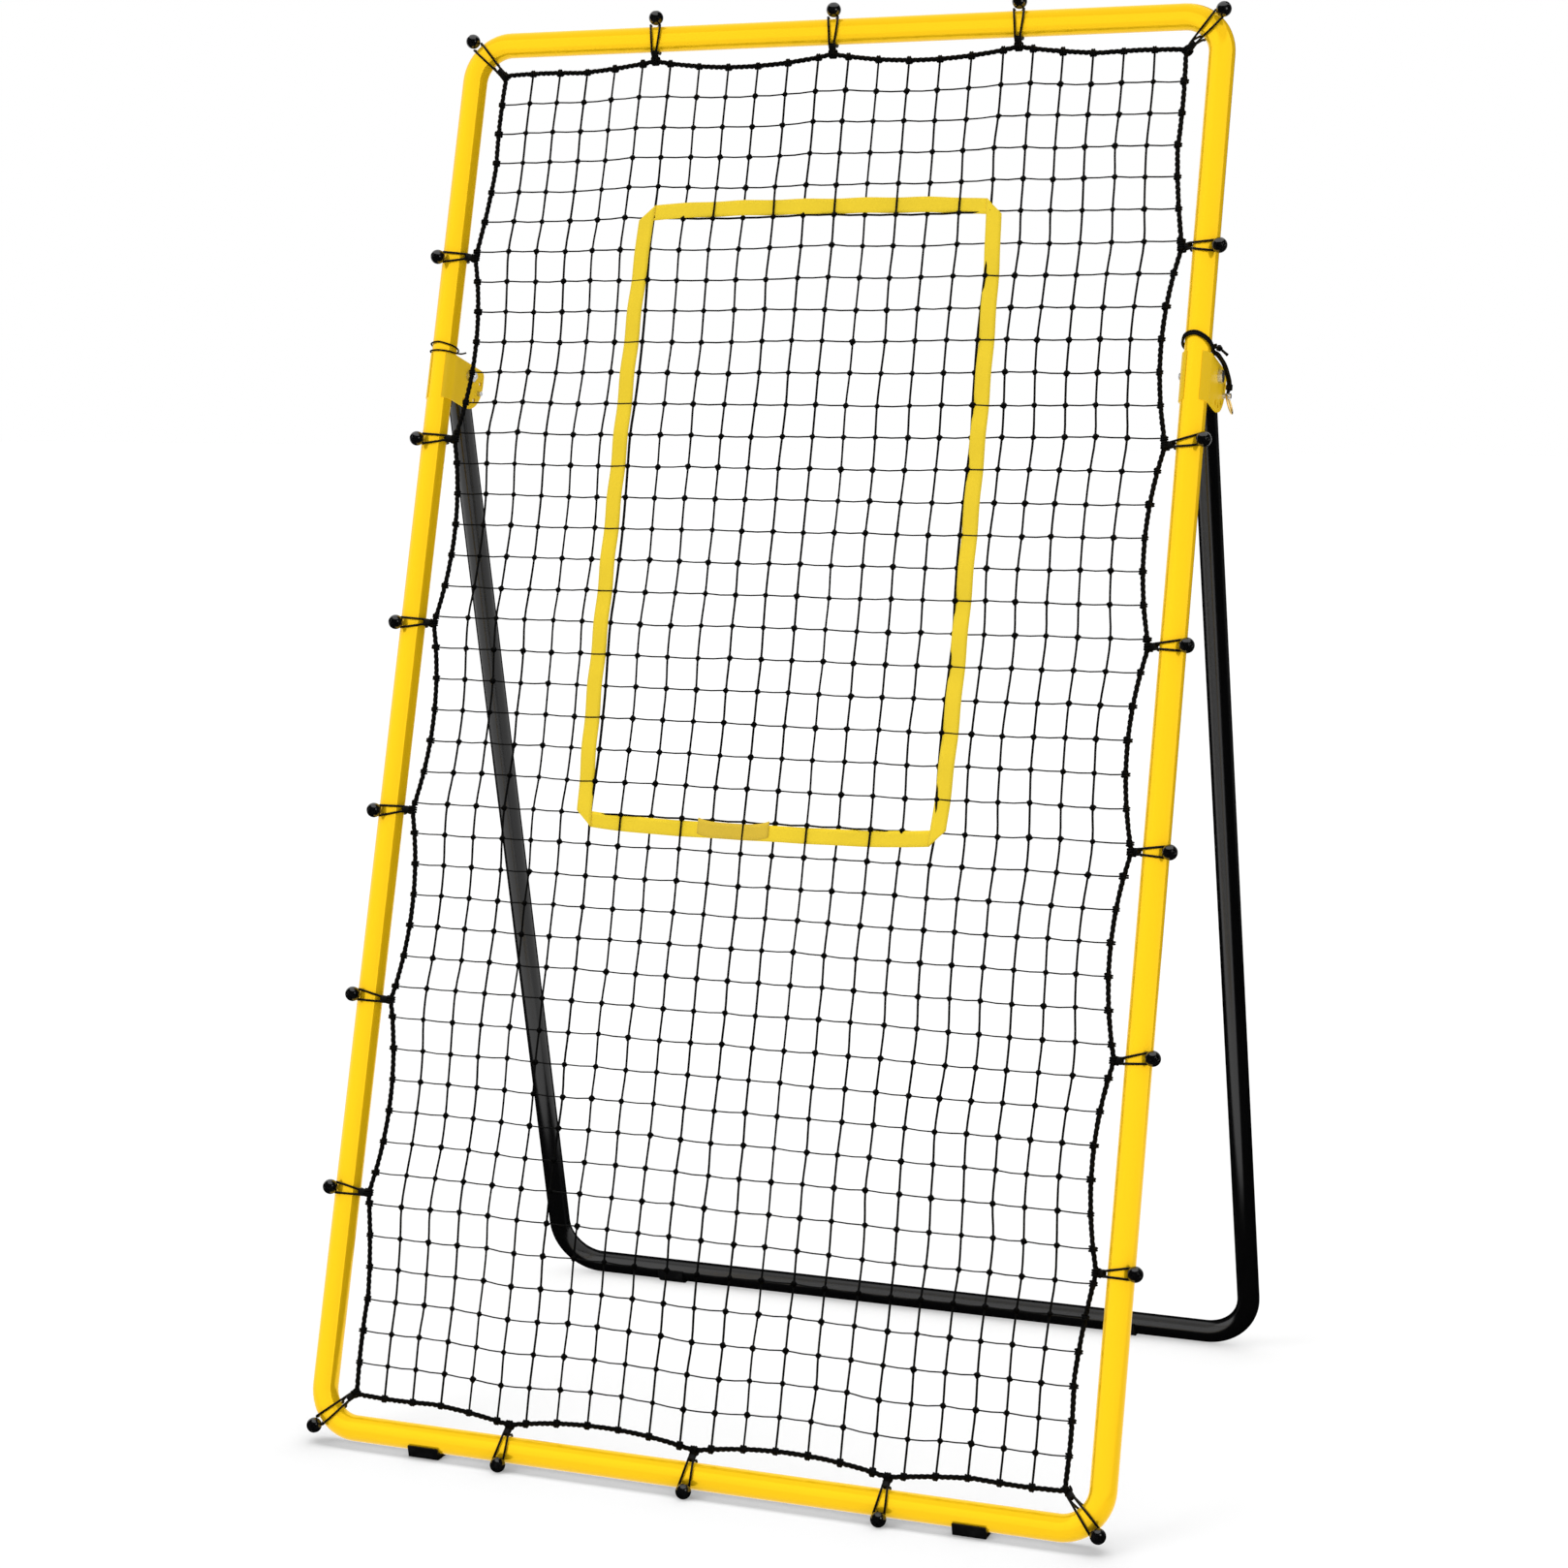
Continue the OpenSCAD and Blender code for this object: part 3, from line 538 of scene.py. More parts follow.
outward = Matrix.Rotation(math.radians(90), 4, "Y")
inward = Matrix.Rotation(math.radians(-90), 4, "Y")
for side, sign in (("left", -1), ("right", 1)):
    pivot = at_bracket(sign) @ Matrix.Translation((0, pivot_back, 0))
    bm = bmesh.new()
    hexagon(bm, 0.013, 0.0053, Matrix.Translation((ear_out, 0, 0)) @ outward)
    tail = [(0, -0.027), (0.0028, -0.027), (0.0034, -0.0264)]
    for tooth in range(8):
        tail += [(bolt_r, -0.0261 + 0.00125 * tooth), (0.0034, -0.0255 + 0.00125 * tooth)]
    lathe(bm, [*tail, (bolt_r, -0.0158), (bolt_r, ear_out), (0, ear_out)], 24, outward)
    piece("bolt_" + side, as_mesh(bm, "bolt_" + side, pivot, smooth=False), "frame", "zinc_steel", zinc,
          replaced=["pivot_bolt_" + side])
    bm = bmesh.new()
    hexagon(bm, 0.013, 0.0068, Matrix.Translation((-ear_out, 0, 0)) @ inward)
    piece("nut_" + side, as_mesh(bm, "nut_" + side, pivot, smooth=False), "frame", "zinc_steel", zinc,
          replaced=["pivot_nut_" + side])
    frame["nodes"]["pivot_sleeve_" + side].data.materials[0] = zinc


# ---- Lock pins and pull rings ----
# A plated pin drops through the ears behind each leg; a ring of brassed wire hangs in the
# eye at its outer end, to pull it by.

brass = metal("brass", (0.80, 0.56, 0.20), 0.20)
for side in ("left", "right"):
    rounded("lock_pin_" + side, 0.0002, "lock_pin_" + side, "zinc_steel", zinc)
    rounded("pull_ring_" + side, 0.0002, "pull_ring_" + side, "brassed_steel", brass, hard=60)


# ---- Stand ----
# One U of 27 mm steel tube, powder coated black. Its legs splay a little towards the
# crossbar and hinge between the ears; a plastic plug closes each open end.

black_coat = coated("black_coat", (0.0024, 0.0024, 0.0027), 0.20, 0.3, 0.12, Specular_IOR_Level=0.5)
stand_r = 0.0135
stand_bend = 0.055
splay = math.radians(0.66)
leg_l = 1.21272
leg_head = 0.008
pivot = plane @ Vector((0, pivot_back, pivot_s))
folded = Matrix.Translation(pivot) @ Matrix.Rotation(math.radians(14.636), 4, "X")
bend_x = upright_x + leg_l * math.sin(splay) - stand_bend * (1 + math.sin(splay)) / math.cos(splay)
leg_run = (leg_l + leg_head - stand_bend * (1 + math.sin(splay))) / math.cos(splay)

bm = bmesh.new()
first = ring(bm, stand_r, 48, Matrix.Translation((-bend_x, 0, -leg_l)) @ outward)
last = run(bm, first, (2 * bend_x, 0, 0))
for edges, sign in ((last, 1), (first, -1)):
    edges = bend(bm, edges, (sign * bend_x, 0, stand_bend - leg_l), (0, -sign, 0), 90 + math.degrees(splay), 16)
    edges = run(bm, edges, Vector((-sign * math.sin(splay), 0, math.cos(splay))) * leg_run)
    bmesh.ops.contextual_create(bm, geom=edges)
piece("stand_tube", as_mesh(bm, "stand_tube", folded), "stand", "black_enamel", black_coat, replaced=["stand"])
bpy.data.objects["stand_tube"].data.set_sharp_from_angle(angle=math.radians(60))
for side in ("left", "right"):
    rounded("stand_pad_" + side, 0.0007, "stand", "black_plastic", pad_plastic)
    rounded("leg_cap_" + side, 0.0004, "stand", "black_plastic", pad_plastic)


# ---- Border rope ----
# A black 6 mm rope of three twisted strands runs round the net. Between the ties it
# draws in, so that it scallops, and each mesh line is lashed to it with two turns of twine.

net_half = 0.411
net_low, net_high = 0.0375, 1.5855
side_pull, end_pull = 0.014, 0.011
side_knots = [top_z / 2 + (i - 2.5) * 0.220 for i in range(6)]
end_knots = [(i - 1) * 0.220 for i in range(3)]
net_sag = 0.006


def pull(at, knots, ends, amount):
    """How far the border stands out at one place: full at the ties, hollow between them."""
    stops = [ends[0], *knots, ends[1]]
    last = len(stops) - 2
    i = max([k for k in range(last + 1) if at >= stops[k]], default=0)
    u = min(1, max(0, (at - stops[i]) / (stops[i + 1] - stops[i])))
    a, b = (0 if i == 0 else amount), (0 if i == last else amount)
    sag = amount / 2 if i in (0, last) else amount
    return a + (b - a) * u - 4 * sag * u * (1 - u)


def net_place(x, s):
    """A place on the net, from where it would be if the border were straight."""
    across = x / net_half
    up = 2 * (s - net_low) / (net_high - net_low) - 1
    side_by = pull(s, side_knots, (net_low, net_high), side_pull) * (0.48 * abs(across) + 0.52 * abs(across) ** 24)
    end_by = pull(x, end_knots, (-net_half, net_half), end_pull) * (0.55 * abs(up) ** 3 + 0.45 * abs(up) ** 40)
    back = net_sag * max(0, 1 - across ** 2) * max(0, 1 - up ** 2)
    return Vector((x + math.copysign(side_by, across), back, s + math.copysign(end_by, up)))


def even(points, step, closed):
    """The same line with its points one step apart."""
    points = [*points, points[0]] if closed else list(points)
    lengths = [0]
    for a, b in zip(points, points[1:]):
        lengths.append(lengths[-1] + (b - a).length)
    count = max(2, round(lengths[-1] / step))
    made, k = [], 0
    for i in range(count if closed else count + 1):
        at = lengths[-1] * i / count
        while k < len(points) - 2 and lengths[k + 1] < at:
            k += 1
        made.append(points[k].lerp(points[k + 1], (at - lengths[k]) / (lengths[k + 1] - lengths[k])))
    return made


def strands(name, lines, radius, sides, closed=False, at=Matrix.Identity(4), swell=None, kind="POLY", steps=1):
    """Round strands along lines of points. Their UV is (turn round the strand, metres along it)."""
    curve = bpy.data.curves.new(name, "CURVE")
    curve.dimensions = "3D"
    curve.bevel_depth = radius
    curve.bevel_resolution = sides // 2 - 2
    curve.resolution_u = steps
    curve.use_fill_caps = not closed
    longest = 0
    for n, line in enumerate(lines):
        spline = curve.splines.new(kind)
        points = spline.points if kind == "POLY" else spline.bezier_points
        points.add(len(line) - 1)
        for i, (point, place) in enumerate(zip(points, line)):
            point.co = (*place, 1) if kind == "POLY" else place
            point.radius = swell(n, i) if swell else 1
            if kind == "BEZIER":
                point.handle_left_type = point.handle_right_type = "AUTO"
        spline.use_cyclic_u = closed
        longest = max(longest, sum((b - a).length for a, b in zip(line, line[1:])))
    holder = bpy.data.objects.new(name + "_line", curve)
    scene.collection.objects.link(holder)
    bpy.context.view_layer.update()
    mesh = bpy.data.meshes.new_from_object(holder.evaluated_get(bpy.context.evaluated_depsgraph_get()))
    bpy.data.objects.remove(holder)
    mesh.name = name
    for corner in mesh.uv_layers[0].data:
        corner.uv.y *= longest
    mesh.transform(at)
    mesh.shade_smooth()
    mesh.materials.clear()
    return mesh


# Twine: yarns laid round the strand, or braided where Cross is 1, with painted shade darkening the grooves between the
# yarns
laid, given, out = group(
    "laid", {"Colour": (0.02, 0.02, 0.02, 1), "Groove shade": (0.0, 0.0, 0.0, 1), "Yarns": 3.0, "Per metre": 300.0, "Cross": 0.0},
    {"Colour": "Color", "Height": "Float"})
tree = laid
uv = node(tree, "ShaderNodeSeparateXYZ", {0: node(tree, "ShaderNodeTexCoord").outputs["UV"]}).outputs
round_it = math_node(tree, "MULTIPLY", uv["X"], given["Yarns"])
along_it = math_node(tree, "MULTIPLY", uv["Y"], given["Per metre"])
one_way = math_node(tree, "PINGPONG", math_node(tree, "ADD", along_it, round_it), 0.5)
other_way = math_node(tree, "PINGPONG", math_node(tree, "SUBTRACT", along_it, round_it), 0.5)
crossed = math_node(tree, "MULTIPLY", math_node(tree, "MAXIMUM", one_way, other_way), given["Cross"])
yarns = math_node(tree, "MULTIPLY", math_node(tree, "MAXIMUM", one_way, crossed), 2.0)
place = node(tree, "ShaderNodeTexCoord").outputs["Object"]
fibre = node(tree, "ShaderNodeTexNoise", {"Vector": place, "Scale": 1500.0, "Detail": 3.0}).outputs[0]
height = math_node(tree, "MULTIPLY_ADD", fibre, 0.4, yarns)
# Painted shade: the colour falls to the groove shade colour where the yarns dip
shade = node(tree, "ShaderNodeMix", {"Factor": yarns, 6: given["Groove shade"], 7: given["Colour"]}, data_type="RGBA").outputs[2]
patchy = node(tree, "ShaderNodeTexNoise", {"Vector": place, "Scale": 45.0, "Detail": 2.0}).outputs[0]
tone = node(tree, "ShaderNodeMapRange", {"Value": patchy, "From Min": 0.3, "From Max": 0.7, "To Min": 0.75, "To Max": 1.2}).outputs[0]
tinted = node(tree, "ShaderNodeVectorMath", {0: shade, "Scale": tone}, operation="SCALE").outputs[0]
tree.links.new(tinted, out["Colour"])
tree.links.new(height, out["Height"])


def fibre_of(name, colour, yarns, per_metre, cross, roughness, depth, **plain):
    made, tree = material(name)
    lay = node(tree, "ShaderNodeGroup", node_tree=laid)
    # The groove shade colour is painted shade, the twine's colour at three tenths
    for socket, value in (("Colour", (*colour, 1)), ("Groove shade", (*[c * 0.3 for c in colour], 1)),
                          ("Yarns", yarns), ("Per metre", per_metre), ("Cross", cross)):
        lay.inputs[socket].default_value = value
    bump = node(tree, "ShaderNodeBump", {"Height": lay.outputs["Height"], "Strength": 0.7, "Distance": depth})
    shader = node(tree, "ShaderNodeBsdfPrincipled", {
        "Base Color": lay.outputs["Colour"], "Roughness": roughness, "Normal": bump.outputs[0],
        **{k.replace("_", " "): v for k, v in plain.items()}})
    node(tree, "ShaderNodeOutputMaterial", {"Surface": shader.outputs[0]})
    return made


rope_yarn = fibre_of("rope_yarn", (0.006, 0.006, 0.006), 5.0, 260.0, 0.0, 0.75, 0.0004, Specular_IOR_Level=0.25)
edge = 120
rope_line = [net_place(net_half * (2 * i / edge - 1), net_low) for i in range(edge)]
rope_line += [net_place(net_half, net_low + (net_high - net_low) * i / (2 * edge)) for i in range(2 * edge)]
rope_line += [net_place(net_half * (1 - 2 * i / edge), net_high) for i in range(edge)]
rope_line += [net_place(-net_half, net_high - (net_high - net_low) * i / (2 * edge)) for i in range(2 * edge)]
rope_line = even(rope_line, 0.0023, True)
rope_turns = round(len(rope_line) * 0.0023 / 0.019)
yarn_r = 0.00142
random.seed(4)
yarn_lines = []
for yarn in range(3):
    line = []
    for i, place in enumerate(rope_line):
        ahead = (rope_line[(i + 1) % len(rope_line)] - rope_line[i - 1]).normalized()
        aside = ahead.cross(Vector((0, 1, 0)))
        turn = 2 * math.pi * (rope_turns * i / len(rope_line) + yarn / 3)
        loose = 0.00158 * (1 + 0.14 * noise.noise(place * 160 + Vector((yarn * 9, 0, 0))))
        line.append(place + (aside * math.cos(turn) + Vector((0, 1, 0)) * math.sin(turn)) * loose)
    yarn_lines.append(line)
rope = strands("rope", yarn_lines, yarn_r, 6, closed=True, at=plane,
               swell=lambda n, i: 1 + 0.16 * noise.noise(Vector((n * 7, i * 0.35, 0))))
piece("rope", rope, "frame", "net_twine", rope_yarn, replaced=["border_rope"])


# ---- Net ----
# Black knotted netting, 23 meshes wide and 43 high. The upright twine is the thicker;
# the cross twine is thinner and greyer, and every crossing is a small hard knot.

zone_in_x = 0.205
zone_in_low, zone_in_high = 0.708, 1.408


def divided(stops):
    """Even steps between the stops: pairs of a place and the number of meshes up to it."""
    line = [stops[0][0]]
    for place, meshes in stops[1:]:
        start = line[-1]
        line += [start + (place - start) * (k + 1) / meshes for k in range(meshes)]
    return line


column_x = divided([(-net_half, 0), (-0.2, 6), (0.203, 11), (net_half, 6)])
row_s = divided([(net_high, 0), (zone_in_high - 0.0025, 5), (zone_in_low + 0.0025, 19), (net_low, 19)])
noise.seed_set(1795504480)  # unset, noise_vector starts from the clock and the net differs each run
net_points = {}
for i, x in enumerate(column_x):
    for j, s in enumerate(row_s):
        place = net_place(x, s)
        free = min(1, i / 2, (23 - i) / 2, j / 2, (43 - j) / 2)
        on_zone = (i in (6, 17) and 5 <= j <= 24) or (j in (5, 24) and 6 <= i <= 17)
        drift = noise.noise_vector(Vector((i * 0.42, j * 0.42, 3.1))) * 0.0017 + noise.noise_vector(Vector((i * 1.7, j * 1.7, 8.4))) * 0.0012
        drift *= free * (0.25 if on_zone else 1)
        net_points[i, j] = place + Vector((drift.x, drift.y * 0.8, drift.z))

warp_twine = fibre_of("warp_twine", (0.005, 0.005, 0.005), 3.0, 300.0, 0.0, 0.7, 0.0003, Specular_IOR_Level=0.3)
cross_twine = fibre_of("cross_twine", (0.008, 0.008, 0.008), 3.0, 420.0, 0.0, 0.7, 0.0002, Specular_IOR_Level=0.35)
knot_twine = fibre_of("knot_twine", (0.004, 0.004, 0.004), 3.0, 300.0, 0.0, 0.72, 0.0004, Specular_IOR_Level=0.25)
bold = {(i, j) for i in (6, 17) for j in range(5, 25)}
uprights = [[net_points[i, j] for j in range(44)] for i in range(1, 23)]
warp = strands("net_uprights", uprights, 0.00125, 6, at=plane, kind="BEZIER", steps=3,
               swell=lambda n, j: 1.2 if (n + 1, j) in bold else 1 + 0.08 * noise.noise(Vector((n * 3, j * 0.9, 0))))
piece("net_uprights", warp, "frame", "net_twine", warp_twine, replaced=["net"])

crossings = []
for j in range(1, 43):
    line = []
    for i in range(24):
        line.append(net_points[i, j])
        if i < 23:
            drop = 0.0007 + 0.0006 * noise.noise(Vector((i * 2.3, j * 3.1, 1)))
            line.append((net_points[i, j] + net_points[i + 1, j]) / 2 - Vector((0, 0, drop)))
    crossings.append(line)
weft = strands("net_crossings", crossings, 0.00087, 6, at=plane, kind="BEZIER", steps=2,
               swell=lambda n, k: 1.4 if n + 1 in (5, 24) and 12 <= k <= 34 else 1 + 0.12 * noise.noise(Vector((n * 3, k * 0.5, 5))))
piece("net_crossings", weft, "frame", "net_twine", cross_twine, replaced=["net"])

bm = bmesh.new()
bmesh.ops.create_uvsphere(bm, u_segments=8, v_segments=6, radius=1, matrix=Matrix.Rotation(math.pi / 2, 4, "X"))
for v in bm.verts:
    lozenge = abs(v.co.x) ** 1.2 + abs(v.co.z) ** 1.2 + abs(v.co.y) ** 2
    v.co = v.co / lozenge ** 0.75
    v.co *= 1 + 0.10 * math.sin(5 * (v.co.x + v.co.z) + 2 * v.co.y)
    v.co = Vector((v.co.x * 0.0040, v.co.y * 0.0027, v.co.z * 0.0041))
knot_mesh = as_mesh(bm, "knot")
bm = bmesh.new()
random.seed(11)
for i in range(1, 23):
    for j in range(1, 43):
        before = len(bm.verts)
        bm.from_mesh(knot_mesh)
        bm.verts.ensure_lookup_table()
        turn = Matrix.Rotation(random.uniform(-0.35, 0.35), 4, "Y") @ Matrix.Rotation(random.choice((0, math.pi)), 4, "Z")
        size = Matrix.Scale(random.uniform(0.9, 1.12), 4)
        at = Matrix.Translation(net_points[i, j]) @ turn @ size
        bmesh.ops.transform(bm, matrix=at, verts=bm.verts[before:])
bpy.data.meshes.remove(knot_mesh)
knots = as_mesh(bm, "net_knots", plane)
piece("net_knots", knots, "frame", "net_twine", knot_twine, replaced=["net"])


# ---- Lashings ----
# Where a mesh line meets the border rope, its end goes twice round the rope and is tucked.

lash_lines = []
meeting = [((i, j), (i, 1 if j == 0 else 42)) for i in range(1, 23) for j in (0, 43)]
meeting += [((i, j), (1 if i == 0 else 22, j)) for j in range(1, 43) for i in (0, 23)]
random.seed(7)
for (i, j), inner in meeting:
    here = net_points[i, j]
    towards = (net_points[inner] - here).normalized()
    along = Vector((1, 0, 0)) if j in (0, 43) else Vector((0, 0, 1))
    along = (along - towards * along.dot(towards)).normalized()
    back = along.cross(towards)
    wide = random.uniform(0.0032, 0.0040)
    slack = random.uniform(0.9, 1.15)
    line = []
    for k in range(20):
        turn = 2 * math.pi * (k / 8 - 0.1)
        line.append(here + (towards * math.cos(turn) + back * math.sin(turn)) * wide * slack + along * (k / 19 - 0.5) * 0.0056)
    lash_lines.append(line)
lashings = strands("lashings", lash_lines, 0.00115, 6, at=plane)
piece("lashings", lashings, "frame", "net_twine", rope_yarn)


# ---- Strike zone ----
# One yellow polyester webbing, 18 mm wide, woven over and under the mesh lines. It is
# folded over at each corner, and its ends are lapped and sewn in the middle below.

web_w = 0.018
web_t = 0.0009
over_by = 0.0013
zone_bow = 0.0045

woven, given, out = group(
    "woven", {"Colour": (0.8, 0.6, 0.05, 1), "Shade": (0.5, 0.35, 0.02, 1), "Pitch": 0.0011},
    {"Colour": "Color", "Height": "Float"})
tree = woven
uv = node(tree, "ShaderNodeSeparateXYZ", {0: node(tree, "ShaderNodeTexCoord").outputs["UV"]}).outputs
rib = math_node(tree, "DIVIDE", uv["X"], given["Pitch"])
pick = math_node(tree, "DIVIDE", uv["Y"], given["Pitch"])
odd = math_node(tree, "MODULO", math_node(tree, "FLOOR", rib), 2.0)
step = math_node(tree, "MULTIPLY_ADD", odd, 0.5, math_node(tree, "MULTIPLY", pick, 0.5))
float_up = math_node(tree, "PINGPONG", step, 0.5)
crown = math_node(tree, "PINGPONG", rib, 0.5)
height = math_node(tree, "MULTIPLY", math_node(tree, "ADD", float_up, crown), 1.0)
place = node(tree, "ShaderNodeTexCoord").outputs["Object"]
patchy = node(tree, "ShaderNodeTexNoise", {"Vector": place, "Scale": 25.0, "Detail": 4.0}).outputs[0]
tone = node(tree, "ShaderNodeMapRange", {"Value": patchy, "From Min": 0.3, "From Max": 0.7, "To Min": 0.97, "To Max": 1.03}).outputs[0]
shade = node(tree, "ShaderNodeMix", {"Factor": height, 6: given["Shade"], 7: given["Colour"]}, data_type="RGBA").outputs[2]
tinted = node(tree, "ShaderNodeVectorMath", {0: shade, "Scale": tone}, operation="SCALE").outputs[0]
tree.links.new(tinted, out["Colour"])
tree.links.new(height, out["Height"])


def webbing(name, colour, shade):
    made, tree = material(name)
    cloth = node(tree, "ShaderNodeGroup", node_tree=woven)
    cloth.inputs["Colour"].default_value = (*colour, 1)
    cloth.inputs["Shade"].default_value = (*shade, 1)
    bump = node(tree, "ShaderNodeBump", {"Height": cloth.outputs["Height"], "Strength": 0.5, "Distance": 0.0002})
    shader = node(tree, "ShaderNodeBsdfPrincipled", {
        "Base Color": cloth.outputs["Colour"], "Roughness": 0.72, "Normal": bump.outputs[0],
        "Specular IOR Level": 0.25, "Sheen Weight": 0.15, "Sheen Roughness": 0.4})
    node(tree, "ShaderNodeOutputMaterial", {"Surface": shader.outputs[0]})
    return made


yellow_web = webbing("yellow_web", (0.97, 0.72, 0.032), (0.86, 0.60, 0.022))
lapped_web = webbing("lapped_web", (0.80, 0.56, 0.05), (0.68, 0.46, 0.03))


def weave_offset(lines, over, at):
    """How far the webbing stands behind the net at one place; it passes behind the lines in over."""
    k = min(range(len(lines) - 1), key=lambda n: abs((lines[n] + lines[n + 1]) / 2 - at))
    a, b = (over_by if n in over else -over_by for n in (k, k + 1))
    u = min(1, max(0, (at - lines[k]) / (lines[k + 1] - lines[k])))
    return a + (b - a) * (0.5 - 0.5 * math.cos(math.pi * u))


def band(bm, uv_layer, start, end, inner, sign, upright, over, lift=0.0, cut=web_w):
    """One straight stretch of webbing, its ends cut to the slope of the folds."""
    lines = row_s[::-1] if upright else column_x
    count = round((end - start) / 0.0035)
    grid = bmesh.ops.create_grid(bm, x_segments=count, y_segments=4, size=0.5)["verts"]
    for v in grid:
        p, q = v.co.x + 0.5, v.co.y + 0.5
        along = start - cut * (1 - q) + (end - start + 2 * cut * (1 - q)) * p
        hollow = zone_bow * abs(2 * (along - start) / (end - start) - 1) ** 4
        side = inner + sign * (web_w * q - hollow)
        net = net_place(side, along) if upright else net_place(along, side)
        behind = net.y + weave_offset(lines, over, along) + lift
        v.co = (side, behind, along) if upright else (along, behind, side)
        for corner in v.link_loops:
            corner[uv_layer].uv = (web_w * q, along)
    return grid


def solid_cloth(bm, name, thickness):
    """Gives a sheet of webbing its thickness and puts it in its place."""
    mesh = as_mesh(bm, name)
    made = bpy.data.objects.new(name, mesh)
    scene.collection.objects.link(made)
    skin = made.modifiers.new("thickness", "SOLIDIFY")
    skin.thickness = thickness
    skin.offset = 0
    bpy.context.view_layer.update()
    thick = bpy.data.meshes.new_from_object(made.evaluated_get(bpy.context.evaluated_depsgraph_get()))
    bpy.data.objects.remove(made)
    thick.name = name
    thick.transform(plane)
    return thick


every_row = len(row_s) - 1
side_over = {every_row - j for j in range(7, 24, 2)}
bm = bmesh.new()
uv_layer = bm.loops.layers.uv.new("UVMap")
half = zone_in_x - zone_bow
band(bm, uv_layer, -half, half, zone_in_high, 1, False, {8, 10, 12, 14, 16})
band(bm, uv_layer, -half, half, zone_in_low, -1, False, {7, 9, 11, 13, 15})
for sign in (-1, 1):
    band(bm, uv_layer, zone_in_low + zone_bow, zone_in_high - zone_bow, sign * zone_in_x, sign, True, side_over, lift=-0.0011)
zone = piece("zone_webbing", solid_cloth(bm, "zone_webbing", web_t), "frame", "yellow_webbing", yellow_web,
             replaced=["strike_zone"])
bm = bmesh.new()
uv_layer = bm.loops.layers.uv.new("UVMap")
band(bm, uv_layer, -0.071, 0.014, zone_in_low, -1, False, {7, 9, 11, 13, 15}, lift=-0.0011, cut=0)
lap = piece("zone_lap", solid_cloth(bm, "zone_lap", web_t), "frame", "yellow_webbing", lapped_web)


# ---- Ball bungees ----
# Each tie is a loop of black elastic: a crimped sleeve gathers it at the border rope, it
# goes round the tube, and a glossy black ball with a dimple for its knot keeps it there.

elastic = fibre_of("elastic", (0.005, 0.005, 0.005), 8.0, 700.0, 1.0, 0.55, 0.00015, Specular_IOR_Level=0.4)
ball_plastic = plastic("ball_plastic", (0.003, 0.003, 0.0033), 0.12, 0.04, Specular_IOR_Level=1.0)
sleeve_rubber = plastic("sleeve_rubber", (0.004, 0.004, 0.004), 0.55, 0.5, Specular_IOR_Level=0.3)
elastic_r = 0.0013
ball_r = 0.0085
ball_out = 0.0246
wrap_r = 0.016578
bundle = 0.0029
tucked = 0.0007
ball_spread = 0.0060
rope_seat = 0.002898
crimp_l = 0.0095
crimp_mid = 0.0155
bend_in = 0.012887
tie_reach, corner_reach = 0.0265, 0.03699
fitter_at = Vector((1.16, -3.01, 0.36))


def through(points, steps, closed=False):
    """A smooth line through points."""
    n = len(points)
    made = []
    for i in range(n if closed else n - 1):
        p = [points[k % n] if closed else points[min(n - 1, max(0, k))] for k in (i - 1, i, i + 1, i + 2)]
        for k in range(steps):
            t = k / steps
            made.append(0.5 * (2 * p[1] + (p[2] - p[0]) * t + (2 * p[0] - 5 * p[1] + 4 * p[2] - p[3]) * t ** 2
                               + (3 * p[1] - p[0] - 3 * p[2] + p[3]) * t ** 3))
    return made if closed else [*made, points[-1]]


def crimp_tilt(reach):
    """Turns a sleeve at the border rope so far forward that its middle line passes before the tube."""
    return Matrix.Rotation(-math.asin(crimp_mid / (reach - rope_seat)), 4, "Z")


def elastic_loop(turn, reach, side, slip, fitter):
    """One strand round the tube: X outwards, -Y to the front, Z along the tube.

    In front it is taut from the sleeve to the ball, in one plane with the fitter's hand."""
    lean_x, lean_z = fitter.x / fitter.y, fitter.z / fitter.y
    root = Vector((rope_seat - reach, 0, 0))
    tilt = crimp_tilt(reach)
    nose = [(crimp_l, tucked), (0.0044, tucked), (0.0031, 0), (0.0044, -tucked), (crimp_l, -tucked)]
    line = [root + tilt @ Vector((x, y, side * bundle)) for x, y in nose]
    start = line[-1]
    ball = round_tube(turn)
    ball.z = side * ball_spread + slip + (1 - ball_out / wrap_r) * ball.y * lean_z

    def seen(p):
        return p.x - p.y * lean_x, p.z - p.y * lean_z

    (from_x, from_z), (to_x, to_z) = seen(start), seen(ball)
    for i in range(13):
        p = round_tube(145 - (145 - turn) * i / 12)
        share = (seen(p)[0] - from_x) / (to_x - from_x)
        p.z = from_z + (to_z - from_z) * share + p.y * lean_z
        line.append(p)
    for i in range(1, 15):
        p = round_tube(turn - (175 + turn) * i / 14)
        loose = max(0, i / 14 - 0.25) / 0.75
        under_ball = to_z - side * min(i, 4) * 0.0007 + p.y * lean_z
        p.z = under_ball * (1 - loose) + side * bundle * loose
        line.append(p)
    line = line[5:] + line[:5]
    return through(line, 2, closed=True)


def round_tube(degrees):
    return Vector((wrap_r * math.cos(math.radians(degrees)), -wrap_r * math.sin(math.radians(degrees)), 0))


def ball_profile():
    """From the dimple's floor round the ball to its far pole."""
    line = [(0, 5.9), (1.6, 5.9), (1.9, 6.2), (2.1, 7.5), (2.4, 7.95), (2.8, 8.08), (3.2, 7.88)]
    first = math.acos(7.88 / 8.5)
    turns = [first + (math.pi - first) * k / 14 for k in range(1, 14)]
    line += [(8.5 * math.sin(a), 8.5 * math.cos(a)) for a in turns]
    return [(r * 0.001, z * 0.001) for r, z in [*line, (0, -8.5)]]


ball_shape = ball_profile()


